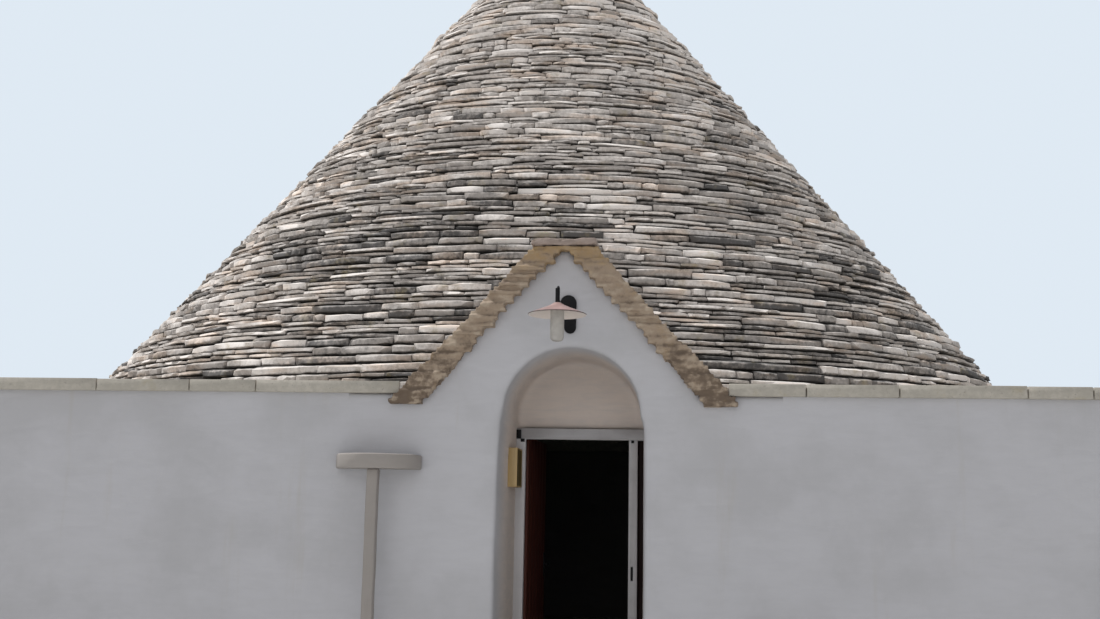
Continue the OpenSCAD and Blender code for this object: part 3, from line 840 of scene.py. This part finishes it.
class TRULLO_OT_stage(bpy.types.Operator):
    """Adds the camera, the lights, the world and the floor."""

    bl_idname = "trullo.stage"
    bl_label = "Stage"

    def execute(self, context):
        self.add_camera(context.scene)
        self.add_lights(context.scene)
        self.add_world(context.scene)
        self.add_floor(context.scene)
        context.scene.view_settings.view_transform = "Standard"
        return {"FINISHED"}

    def add_camera(self, scene):
        c = settings().camera
        data = bpy.data.cameras.new("street_camera")
        data.sensor_width = 36.0
        data.lens = c.lens
        data.clip_end = 300.0
        cam = bpy.data.objects.new("street_camera", data)
        cam.matrix_world = Matrix.Translation(c.place)
        for turn, axis in ((c.yaw, "Z"), (math.pi / 2 + c.pitch, "X"), (c.roll, "Z")):
            cam.matrix_world = cam.matrix_world @ Matrix.Rotation(turn, 4, axis)
        scene.collection.objects.link(cam)
        scene.camera = cam

    def add_lights(self, scene):
        for name, energy, size, direction in (
                ("sun_key", 3.3, 0.10, (0.46, -0.13, -0.88)),
                ("sun_fill", 0.58, 1.0, (0.10, 0.95, -0.10))):
            data = bpy.data.lights.new(name, "SUN")
            data.energy = energy
            data.angle = size
            lamp = bpy.data.objects.new(name, data)
            lamp.rotation_euler = Vector(direction).to_track_quat("-Z", "Y").to_euler()
            scene.collection.objects.link(lamp)

    def add_world(self, scene):
        """One sky that lights the house and a paler one behind it."""
        world = bpy.data.worlds.new("soft_sky")
        scene.world = world
        world.use_nodes = True
        world.node_tree.nodes.clear()
        t = Tree(world.node_tree)
        lighting, seen = (
            t.put("ShaderNodeBackground", {"Color": tint, "Strength": strength}).outputs[0]
            for tint, strength in (((0.92, 0.95, 1.0), 0.42), ((0.74, 0.82, 0.90), 1.0)))
        path = t.put("ShaderNodeLightPath").outputs
        mask = t.maths("MAXIMUM", path["Is Camera Ray"], path["Is Glossy Ray"],
                       path["Is Transmission Ray"])
        pick = t.put("ShaderNodeMixShader")
        for socket, value in zip(pick.inputs, (mask, lighting, seen)):
            t.feed(socket, value)
        t.put("ShaderNodeOutputWorld", {"Surface": pick.outputs[0]})

    def add_floor(self, scene):
        bm = bmesh.new()
        bmesh.ops.create_grid(bm, x_segments=1, y_segments=1, size=60.0)
        mesh = mesh_from("floor", bm)
        mat, t, bsdf = new_material("pale_floor")
        t.fill(bsdf, {"Base Color": settings().finish.floor, "Roughness": 0.9})
        mesh.materials.append(mat)
        floor = bpy.data.objects.new("floor", mesh)
        scene.collection.objects.link(floor)


class TRULLO_OT_slates(bpy.types.Operator):
    """Lays the cone's roof stones, course by course."""

    bl_idname = "trullo.slates"
    bl_label = "Roof stones"

    def execute(self, context):
        self.s = settings().stones
        self.rng = np.random.RandomState(self.s.seed)
        self.shapes = stone_shapes(self.rng, SLATE_SHAPES)
        self.heaps = [Heap(), Heap(), Heap()]
        for i in range(COURSES):
            self.lay_course(i)
        for heap, node in zip(self.heaps, ("slates_lower", "slates_middle", "slates_upper")):
            name = node.replace("slates", "roof_stones")
            finish_piece(name, heap.mesh(name), ("slate",), (node,), smooth=38)
        return {"FINISHED"}

    def lay_course(self, i):
        """Lays one ring of roof stones, some stretches of it in two thin layers."""
        rng, s = self.rng, self.s
        low = EAVES_Z + i * COURSE_H
        radius = CONE_R - i * COURSE_H * CONE_TAPER
        start, sweep = rng.uniform(0, 2 * math.pi), 2 * math.pi
        gap = self.gable_gap(low + COURSE_H / 2, radius)
        if gap:
            start, sweep = gap[1], sweep - (gap[1] - gap[0])
        mean = min(s.slate_length, 0.9 * radius)
        left = sweep * radius
        along = start * radius
        while left > 0.0:
            span = rng.uniform(0.5, 1.8)
            if left - span < 0.4:
                span = left
            layers = 2 if rng.rand() < s.slate_double else 1
            tall = COURSE_H / layers
            for layer in range(layers):
                place = along
                for size in stone_lengths(rng, span, mean):
                    self.lay_stone(radius, place + size / 2, size, low + layer * tall, tall)
                    place += size
            along += span
            left -= span

    def gable_gap(self, z, radius):
        """Angles of the two ends of a course where the gable interrupts it."""
        half = gable_half(z) + COPING_LEVEL
        if z > GABLE_TOP + 0.03 or half <= 0.0:
            return None
        return [math.asin(clip((GABLE_X + side * half) / radius, -1.0)) for side in (-1, 1)]

    def lay_stone(self, radius, along, size, low, tall):
        """Places one roof stone on its ring."""
        rng, s = self.rng, self.s
        places, faces, worn = self.shapes[rng.randint(len(self.shapes))]
        x = places[:, 0] * max(0.05, size - s.slate_gap * rng.uniform(0.4, 1.6))
        if rng.rand() < 0.5:
            x, faces = -x, faces[:, ::-1]
        out = radius + rng.uniform(-s.slate_wander, s.slate_wander * 0.5)
        twist = rng.uniform(-0.05, 0.05) * x
        tip = rng.uniform(-0.035, 0.035) * x * np.clip(1.0 + places[:, 1] / LIP, 0.0, 1.0)
        middle = along / radius
        turn = middle + x / radius
        foot = Vector((radius * math.sin(middle), -radius * math.cos(middle), low))
        z = np.clip(low + places[:, 2] * tall + tip, low - 0.004, low + tall + 0.004)
        z += self.wave(foot)
        raised = self.climb(turn, z)
        z += raised
        r = out + places[:, 1] * s.slate_depth + twist - raised * CONE_TAPER
        band = int((z.mean() - EAVES_Z) / (COURSE_H * BAND_COURSES))
        places = np.stack([r * np.sin(turn), -r * np.cos(turn), z], axis=1)
        self.heaps[clip(band, 0, 2)].add(places, faces, self.tone(foot), worn)

    def tone(self, foot):
        """Patchy and uneven at the eaves, paler and calmer towards the top."""
        shift = Vector((self.s.seed, self.s.seed * 0.7, 0.0))
        patchy = noise.fractal(foot * 0.55 + shift, 1.0, 2.0, 3)
        up = (foot.z - EAVES_Z) / (CONE_TOP - EAVES_Z)
        tone = 0.50 + 0.24 * patchy + self.rng.normal(0.0, 0.34 - 0.22 * up)
        return clip(tone + 0.10 * fade(foot.z - EAVES_Z, 1.2)
                    + 0.38 * clip((foot.z - PALE_FROM) / PALE_RISE))

    def wave(self, foot):
        """How far the courses rise or sink here; nothing at the foot and the top."""
        ends = clip(min(foot.z - EAVES_Z, CONE_TOP - foot.z - COURSE_H) / 0.35)
        co = Vector((foot.x * 0.9, foot.y * 0.9, foot.z * 1.3 + 11.0))
        return noise.noise(co) * self.s.course_wave * ends

    def climb(self, turn, z):
        """How far a course has climbed here from its level at the front and the back."""
        up = np.clip((z - EAVES_Z) / (CONE_TOP - EAVES_Z), 0.0, 1.0)
        rise = self.s.course_climb * (1.0 - np.exp(-up / 0.2)) * (1.0 - up ** 2)
        return rise * (1.044 - np.sqrt(np.cos(turn) ** 2 + 0.09))


class TRULLO_OT_coping(bpy.types.Operator):
    """Builds the stones of the gable's two edges, its cap and its saddle roof."""

    bl_idname = "trullo.coping"
    bl_label = "Gable stones"

    def execute(self, context):
        rng = np.random.RandomState(settings().stones.seed + 20)
        for side, word in ((-1, "left"), (1, "right")):
            self.edge(rng, side, word)
            self.saddle(rng, side, word)
        self.cap(rng)
        return {"FINISHED"}

    def edge(self, rng, side, word):
        """Lays one edge's thin stones, two layers to a step, evener at the foot."""
        heap = Heap()
        for i in range(-2, 2 * COPING_STEPS + 2):
            thin = (COPING_DROP if i < 0 else STEP_Z) / 2
            low = WALL_TOP + i * thin
            middle = low + thin / 2
            if i % 2 == 0:
                stray = rng.uniform(-0.022, 0.012)
            stepped = clip((i + 2) / COPING_STEPS)
            step = WALL_TOP + (i // 2 + 0.5) * STEP_Z
            step = middle + (step - middle) * stepped
            up = i / (2 * COPING_STEPS)
            thinner = np.interp(up, (0.1, 0.4, 0.6, 1.0), (0.006, 0.015, 0.015, 0.004))
            wider = np.interp(up, (0.0, 0.25, 0.45), (0.024, 0.020, 0.0))
            inner = gable_edge(side, step, thinner + stray * stepped
                               + rng.uniform(-0.006, 0.006))
            outer = gable_edge(side, middle, COPING_LEVEL + wider
                               + rng.uniform(-0.014, 0.006))
            front = COPING_LOW.y + rng.uniform(0.004, 0.034)
            back = FRONT_Y + 0.02 if i < 0 else COPING_HIGH.y - 0.004
            heap.add(*rough_block(rng, (inner, front, low - 0.001),
                                  (outer, back, low + thin + 0.001), 0.006, 2, 0.005), 0.5)
        if side < 0:
            heap.add(*self.under_cap(rng), 0.5)
        bm = grown_together(heap.mesh("loose_layers"), 0.0085)
        lowest, highest = node_box(f"coping_{word}")
        reach = Vector((0.16, 0.0, 0.001))
        weather(bm, 0.009, lowest - reach, highest + reach, (0.10, 0.57, 0.52),
                stain_from=GABLE_TOP - 0.17)
        finish_piece(f"gable_edge_{word}", bm, ("coping_stone",),
                     (f"coping_{word}",), smooth=70)

    def under_cap(self, rng):
        """The flat stone on the gable's point that carries the cap."""
        half, tall = 0.13, 0.030
        return rough_block(rng, (GABLE_X - half, COPING_LOW.y + 0.012, GABLE_TOP - tall),
                           (GABLE_X + half, FRONT_Y, GABLE_TOP), 0.008, 2, 0.004)

    def saddle(self, rng, side, word):
        """Lays the saddle roof's stones and fills the corner at the eaves."""
        heap = Heap()
        eaves_low, eaves_high = node_box(f"eaves_front_{word}")
        end = eaves_high.x if side < 0 else eaves_low.x
        for front, back in ((eaves_low.y + 0.012, FRONT_Y + 0.10),
                            (FRONT_Y + 0.104, FRONT_Y + 0.40)):
            heap.add(*rough_block(rng, (end - side * 0.10, front, WALL_TOP + 0.001),
                                  (end + side * 0.004, back, EAVES_Z - 0.004),
                                  0.010, 1, 0.003), 0.7)
        thin = STEP_Z / 2
        for i in range(2 * (COPING_STEPS + 1)):
            low = WALL_TOP + i * thin
            inner = gable_edge(side, low + thin / 2, -0.02)
            front = SADDLE_LOW.y
            for cut in np.cumsum(stone_lengths(rng, SADDLE_HIGH.y - SADDLE_LOW.y, 0.24)):
                outer = gable_edge(side, low + thin / 2,
                                   COPING_LEVEL - rng.uniform(0.0, 0.02))
                back = SADDLE_LOW.y + cut
                high = low + thin - rng.uniform(0.001, 0.004)
                heap.add(*rough_block(rng, (inner, front + 0.002, low + 0.001),
                                      (outer, back - 0.003, high), 0.006, 1, 0.004),
                         clip(rng.normal(0.5, 0.2)))
                front = back
        name = f"saddle_stones_{word}"
        finish_piece(name, heap.mesh(name), ("slate",), (f"saddle_{word}",),
                     smooth=35)

    def cap(self, rng):
        low, high = node_box("gable_cap")
        heap = Heap()
        inset = Vector((0.006, 0.006, 0.0))
        heap.add(*rough_block(rng, low + inset, high - inset, 0.018, 4, 0.008), 0.55)
        bm = grown_together(heap.mesh("loose_cap"), 0.009)
        weather(bm, 0.010, low, high, (0.6, 0.6, 0.6))
        finish_piece("gable_cap_slab", bm, ("gable_slab",), ("gable_cap",),
                     smooth=70)


class TRULLO_OT_plaster(bpy.types.Operator):
    """Moulds the doorway and raises the plain walls round the room."""

    bl_idname = "trullo.plaster"
    bl_label = "Limewashed walls"

    def execute(self, context):
        p = settings().plaster
        self.seams = (GABLE_X - DOORWAY_HALF, GABLE_X + DOORWAY_HALF)
        self.doorway(p)
        self.ring(p)
        return {"FINISHED"}

    def doorway(self, p):
        nodes = ("front_wall_left", "front_wall_right", "gable_wall", "lunette_wall",
                 "door_lintel")
        bm = copy_of(*nodes)
        bmesh.ops.triangulate(bm, faces=bm.faces)
        bm = grown_together(mesh_from("doorway_rough", bm), p.voxel)
        for seam, outwards in zip(self.seams, (-1.0, 1.0)):
            cut_at(bm, AXES[0] * seam, AXES[0] * outwards, clear_outer=True)
            rim = [e for e in bm.edges if e.is_boundary]
            bmesh.ops.edgeloop_fill(bm, edges=rim)
        for _ in range(3):
            inside = [v for v in bm.verts if self.seams[0] + 0.001 < v.co.x
                      < self.seams[1] - 0.001]
            bmesh.ops.smooth_vert(bm, verts=inside, factor=0.5, use_axis_x=True,
                                  use_axis_y=True, use_axis_z=True)
        self.lean(bm)
        undulate(bm, p, self.seams, math.inf)
        finish_piece("doorway_plaster", bm, ("limewash",), nodes, smooth=60)

    def lean(self, bm):
        """Leans the recess's edges, fills its back where the screen stands, and
        carries the gable's edges in under the coping.
        """
        for v in bm.verts:
            x, y, z = v.co
            half = gable_half(z)
            if z > WALL_TOP + 0.01 and half > POINT_HALF:
                near = min(1.0, abs(x - GABLE_X) / half) ** 8
                reach = UNDER_COPING * near * min(1.0, (half - POINT_HALF) / 0.15)
                v.co.x += math.copysign(reach, x - GABLE_X)
            deep = (y - FRONT_Y) / (SCREEN_LOW.y - FRONT_Y)
            if z > RECESS_TOP or deep < -0.05 or deep > 1.15:
                continue
            front = clip(1.0 - deep / 0.6)
            push = float(np.interp(z, LEAN_Z, LEAN_X)) * front
            if z > SCREEN_HIGH.z:
                push += 0.026 * min(1.0, deep) * fade(z - SCREEN_HIGH.z, 0.35)
            else:
                push += 0.007 * clip((deep - 0.7) / 0.2)
            v.co.x += push * fade(x - JAMB_X - 0.012, 0.14)
            v.co.x -= 0.010 * fade(z - SPRING_Z, 0.16) * front * fade(x - SCREEN_HIGH.x, 0.10)

    def ring(self, p):
        left, right = self.seams
        plan = [(left, FRONT_Y), (-HALF, FRONT_Y), (-HALF, HALF), (HALF, HALF),
                (HALF, FRONT_Y), (right, FRONT_Y), (right, -ROOM_HALF),
                (ROOM_HALF, -ROOM_HALF), (ROOM_HALF, ROOM_HALF),
                (-ROOM_HALF, ROOM_HALF), (-ROOM_HALF, -ROOM_HALF), (left, -ROOM_HALF)]
        bm = bmesh.new()
        foot = bm.faces.new([bm.verts.new((x, y, 0.0)) for x, y in plan])
        raised = bmesh.ops.extrude_face_region(bm, geom=[foot])
        moved = [v for v in raised["geom"] if isinstance(v, bmesh.types.BMVert)]
        bmesh.ops.translate(bm, verts=moved, vec=(0, 0, WALL_TOP))
        bmesh.ops.recalc_face_normals(bm, faces=bm.faces)
        corners = [e for e in bm.edges
                   if all(abs(abs(v.co.x) - HALF) < 1e-4 and abs(abs(v.co.y) - HALF) < 1e-4
                          for v in e.verts) and abs(e.verts[0].co.z - e.verts[1].co.z) > 1]
        bevel(bm, corners, p.corner, 4)
        cut_grid(bm, p.grid)
        undulate(bm, p, self.seams, WALL_TOP)
        finish_piece("plain_walls", bm, ("limewash",),
                     ("left_wall", "right_wall", "back_wall"), smooth=50)


class TRULLO_OT_eaves(bpy.types.Operator):
    """Splits the eaves into flat slabs with open joints."""

    bl_idname = "trullo.eaves"
    bl_label = "Eaves slabs"

    def execute(self, context):
        s = settings().stones
        rng = np.random.RandomState(s.seed + 40)
        for node in ("eaves_front_left", "eaves_front_right", "eaves_left",
                     "eaves_right", "eaves_back"):
            bm = copy_of(node)
            low, high = node_box(node)
            for axis in (0, 1):
                self.saw(bm, rng, s, axis, low[axis], high[axis])
            bm.normal_update()
            soften(bm, 0.008, 1)
            self.settle(bm, rng, high.z)
            bmesh.ops.triangulate(bm, faces=bm.faces)
            finish_piece(node.replace("eaves", "eaves_slabs"), bm, ("cap_stone",),
                         (node,), smooth=35)
        return {"FINISHED"}

    def saw(self, bm, rng, s, axis, low, high):
        """Cuts joints across one axis and closes the sawn faces."""
        if high - low < s.flag_length * 1.4:
            return
        for cut in np.cumsum(stone_lengths(rng, high - low, s.flag_length))[:-1]:
            skew = Vector((rng.uniform(-0.03, 0.03), rng.uniform(-0.03, 0.03), 0.0))
            slant = (AXES[axis] + skew).normalized()
            centre = AXES[axis] * (low + cut)
            made = cut_at(bm, centre, slant, 1e-6)
            rim = [g for g in made["geom_cut"] if isinstance(g, bmesh.types.BMEdge)]
            opened = bmesh.ops.split_edges(bm, edges=rim)
            bmesh.ops.holes_fill(bm, edges=opened["edges"], sides=0)
            for v in {v for e in opened["edges"] if e.is_valid for v in e.verts}:
                v.co += slant * self.side_of(v, centre, slant) * s.flag_joint / 2

    def side_of(self, v, centre, slant):
        """Which side of a joint the slab of this vertex lies on."""
        reach = [(e.other_vert(v).co - centre).dot(slant) for e in v.link_edges]
        return 1.0 if max(reach, key=abs) > 0 else -1.0

    def settle(self, bm, rng, top):
        """Gives each slab its own tone and a slight change of level."""
        tone = bm.verts.layers.float.new("tone")
        left = set(bm.verts)
        while left:
            stack, slab = [left.pop()], []
            while stack:
                v = stack.pop()
                slab.append(v)
                for e in v.link_edges:
                    other = e.other_vert(v)
                    if other in left:
                        left.discard(other)
                        stack.append(other)
            shade = clip(rng.normal(0.52, 0.09))
            drop = rng.uniform(0.0, 0.006)
            for v in slab:
                v[tone] = shade
                if v.co.z > top - 0.03:
                    v.co.z -= drop


class TRULLO_OT_pinnacle(bpy.types.Operator):
    """Finishes the drum, dish and ball on the cone's top."""

    bl_idname = "trullo.pinnacle"
    bl_label = "Pinnacle"

    def execute(self, context):
        for node in ("pinnacle_drum", "pinnacle_dish", "pinnacle_ball"):
            bm = copy_of(node)
            if node != "pinnacle_ball":
                soften(bm, 0.014, 3, 25)
            low, high = node_box(node)
            cut_grid(bm, 0.04, (2,))
            for v in bm.verts:
                push = noise.noise_vector(v.co * 6.0) * 0.004
                if low.z + 0.002 < v.co.z < high.z - 0.002:
                    v.co += Vector((push.x, push.y, 0.0))
            bmesh.ops.triangulate(bm, faces=bm.faces)
            finish_piece(node + "_lime", bm, ("pinnacle_lime",), (node,))
        return {"FINISHED"}


class TRULLO_OT_door(bpy.types.Operator):
    """Rounds the timber door and its frame."""

    bl_idname = "trullo.door"
    bl_label = "Door"

    def execute(self, context):
        # The frame takes the much darker copy of the timber as painted shade
        rounded_copy("door_frame_timber", "door_frame", "frame_timber", 0.004)
        finish_piece("door_leaf_timber", self.leaf(), ("door_timber",),
                     ("door_leaf",), body="door")
        rounded_copy("door_handles", "door_handle", "black_iron", 0.0025,
                     body="door")
        return {"FINISHED"}

    def leaf(self):
        """Upright boards with chamfered edges on a core, turned to the open place."""
        bm = bmesh.new()
        wide = (LEAF_HIGH.x - LEAF_LOW.x) / LEAF_BOARDS
        for i in range(LEAF_BOARDS):
            left = LEAF_LOW.x + i * wide
            box((left + 0.0004, LEAF_LOW.y, LEAF_LOW.z),
                (left + wide - 0.0004, LEAF_HIGH.y, LEAF_HIGH.z), bm)
        soften(bm, 0.0018)
        core = Vector((0.002, 0.003, 0.002))
        box(LEAF_LOW + core, LEAF_HIGH - core, bm)
        turn = (Matrix.Translation(LEAF_PIN) @ Matrix.Rotation(LEAF_TURN, 4, "Z")
                @ Matrix.Translation(-LEAF_PIN))
        bmesh.ops.transform(bm, matrix=turn, verts=bm.verts)
        bmesh.ops.recalc_face_normals(bm, faces=bm.faces)
        return bm


class TRULLO_OT_screen(bpy.types.Operator):
    """Rounds the insect screen's white frame and pull bar."""

    bl_idname = "trullo.screen"
    bl_label = "Insect screen"

    def execute(self, context):
        bar_low, bar_high = node_box("screen_pull_bar")
        frame = soften(copy_of("screen_frame"), 0.004)
        cut_at(frame, AXES[2] * bar_high.z, AXES[2])
        # Faces above the pull bar's top belong to the guide's head, which takes the darker copy
        # of the white metal as painted shade
        for f in frame.faces:
            f.material_index = int(f.calc_center_median().z > bar_high.z + 0.001)
        finish_piece("screen_frame_white", frame, ("white_aluminium", "white_head_aluminium"),
                     ("screen_frame",))
        self.dark_parts(bar_low, bar_high.z)
        # The pull bar takes a darker copy of the white metal as painted shade
        rounded_copy("screen_pull_bar_white", "screen_pull_bar", "white_bar_aluminium",
                     0.003)
        return {"FINISHED"}

    def dark_parts(self, bar, guide):
        """The guide's end cap, the stops below it and the lining of the finger slot."""
        low, bm = SCREEN_LOW, bmesh.new()
        slot_low, slot_high = 0.942, 1.036
        for corner, other in (
                ((low.x + 0.001, low.y - 0.012, guide + 0.002),
                 (low.x + 0.038, low.y + 0.004, SCREEN_HIGH.z - 0.012)),
                ((low.x + 0.034, low.y - 0.005, guide - 0.020),
                 (low.x + 0.064, low.y + 0.004, guide + 0.003)),
                ((bar.x + 0.016, low.y - 0.002, guide - 0.020),
                 (bar.x + 0.036, bar.y + 0.004, guide - 0.001)),
                ((bar.x + 0.0188, bar.y + 0.004, slot_low),
                 (bar.x + 0.0332, bar.y + 0.013, slot_high))):
            box(corner, other, bm)
        bmesh.ops.recalc_face_normals(bm, faces=bm.faces)
        soften(bm, 0.003)
        finish_piece("screen_end_caps", bm, ("black_iron",))


class TRULLO_OT_lamp(bpy.types.Operator):
    """Turns the lamp's shade and glass and finishes its ironwork."""

    bl_idname = "trullo.lamp"
    bl_label = "Wall lamp"

    def execute(self, context):
        self.shade()
        self.bulb_cover()
        rounded_copy("lamp_plate_iron", "lamp_plate", "black_iron", 0.005, 3, 50)
        paint("black_iron", "lamp_arm")
        return {"FINISHED"}

    def shade(self):
        rim_r = (SHADE_HIGH.x - SHADE_LOW.x) / 2
        top = SHADE_HIGH.z
        rim = SHADE_LOW.z
        bm = self.turned([
            (0.0, top), (0.016, top), (0.021, top - 0.001), (0.030, top - 0.007),
            (0.048, top - 0.018), (0.090, top - 0.036), (0.135, top - 0.0535),
            (rim_r - 0.012, rim + 0.009), (rim_r - 0.004, rim + 0.0065),
            (rim_r, rim + 0.004), (rim_r - 0.002, rim), (rim_r - 0.012, rim + 0.003),
            (0.135, top - 0.059), (0.090, top - 0.0415), (0.048, top - 0.024),
            (0.0, top - 0.024)])
        bm.normal_update()
        centre = (SHADE_LOW + SHADE_HIGH) / 2
        for f in bm.faces:
            far = (f.calc_center_median() - centre).xy.length
            f.material_index = 2 if far > rim_r - 0.003 else 1 if f.normal.z < -0.2 else 0
        finish_piece("lamp_shade_enamel", bm, ("rosy_enamel", "pale_enamel", "worn_rim"),
                     ("lamp_shade",), smooth=50)

    def bulb_cover(self):
        r = (GLASS_HIGH.x - GLASS_LOW.x) / 2
        foot, head = GLASS_LOW.z, SHADE_HIGH.z - 0.025
        bm = self.turned([
            (0.0, head), (r - 0.006, head), (r - 0.001, head - 0.006), (r, head - 0.03),
            (r, foot + 0.03), (r - 0.003, foot + 0.014), (r - 0.011, foot + 0.004),
            (r - 0.022, foot), (0.0, foot)])
        finish_piece("lamp_glass_frosted", bm, ("frosted_glass",),
                     ("lamp_glass",), smooth=50)

    def turned(self, outline):
        """Spins an outline of radii and heights round the lamp's upright axis."""
        centre = (SHADE_LOW + SHADE_HIGH) / 2
        bm = bmesh.new()
        verts = [bm.verts.new((centre.x + r, centre.y, z)) for r, z in outline]
        edges = [bm.edges.new(pair) for pair in zip(verts, verts[1:])]
        bmesh.ops.spin(bm, geom=verts + edges, cent=centre, axis=(0, 0, 1),
                       dvec=(0, 0, 0), angle=2 * math.pi, steps=96, use_merge=True)
        bmesh.ops.remove_doubles(bm, verts=bm.verts, dist=1e-5)
        bmesh.ops.recalc_face_normals(bm, faces=bm.faces)
        return bm


class TRULLO_OT_fittings(bpy.types.Operator):
    """Finishes the wooden box, the shelf and the stone floor."""

    bl_idname = "trullo.fittings"
    bl_label = "Fittings and floor"

    def execute(self, context):
        self.wooden_box()
        # The shelf and its post take the darker limewash, partly dirt and partly painted shade
        for node, width in (("shelf_slab", 0.014), ("shelf_post", 0.010)):
            piece = soften(copy_of(node), width, 3)
            cut_grid(piece, 0.06)
            for v in piece.verts:
                if v.co.z > 0.01:
                    v.co += noise.noise_vector(v.co * 5.0) * 0.003
            finish_piece(node + "_lime", piece, ("old_limewash",), (node,))
        paint("dome_stone", "floor_slab", "doorstep", "corner_squinches", "dome_keystone",
              *(f"cone_masonry_{i}" for i in range(1, 9)))
        paint("black_iron", "door_hinges", "leaf_hinges")
        return {"FINISHED"}

    def wooden_box(self):
        """A box with a sunk olive side, whose dark colour is partly the box's own dark edge and
        partly painted shade.
        """
        bm = copy_of("reveal_box")
        side = [f for f in bm.faces if f.normal.x > 0.9]
        bmesh.ops.inset_region(bm, faces=side, thickness=0.014)
        for f in side:
            f.material_index = 1
            for v in f.verts:
                v.co.x -= 0.004
        soften(bm, 0.003)
        finish_piece("reveal_box_wood", bm, ("ochre_wood", "box_side_wood"),
                     ("reveal_box",))


class TRULLO_PT_panel(bpy.types.Panel):
    """Lists the steps that build the house."""

    bl_label = "Trullo"
    bl_idname = "TRULLO_PT_panel"
    bl_space_type = "VIEW_3D"
    bl_region_type = "UI"
    bl_category = "Trullo"

    def draw(self, context):
        for step in STEPS:
            self.layout.operator(step.bl_idname)


STEPS = (TRULLO_OT_stage, TRULLO_OT_slates, TRULLO_OT_coping, TRULLO_OT_plaster,
         TRULLO_OT_eaves, TRULLO_OT_pinnacle, TRULLO_OT_door, TRULLO_OT_screen,
         TRULLO_OT_lamp, TRULLO_OT_fittings)
CLASSES = (CameraSettings, StoneSettings, PlasterSettings, FinishSettings, Trullo,
           *STEPS, TRULLO_PT_panel)


def register():
    for cls in CLASSES:
        bpy.utils.register_class(cls)
    bpy.types.Scene.trullo = PointerProperty(type=Trullo)


def unregister():
    del bpy.types.Scene.trullo
    for cls in reversed(CLASSES):
        bpy.utils.unregister_class(cls)


def main():
    register()
    bpy.ops.trullo.stage()
    bpy.ops.trullo.slates()
    bpy.ops.trullo.coping()
    bpy.ops.trullo.plaster()
    bpy.ops.trullo.eaves()
    bpy.ops.trullo.pinnacle()
    bpy.ops.trullo.door()
    bpy.ops.trullo.screen()
    bpy.ops.trullo.lamp()
    bpy.ops.trullo.fittings()


if __name__ == "__main__":
    main()
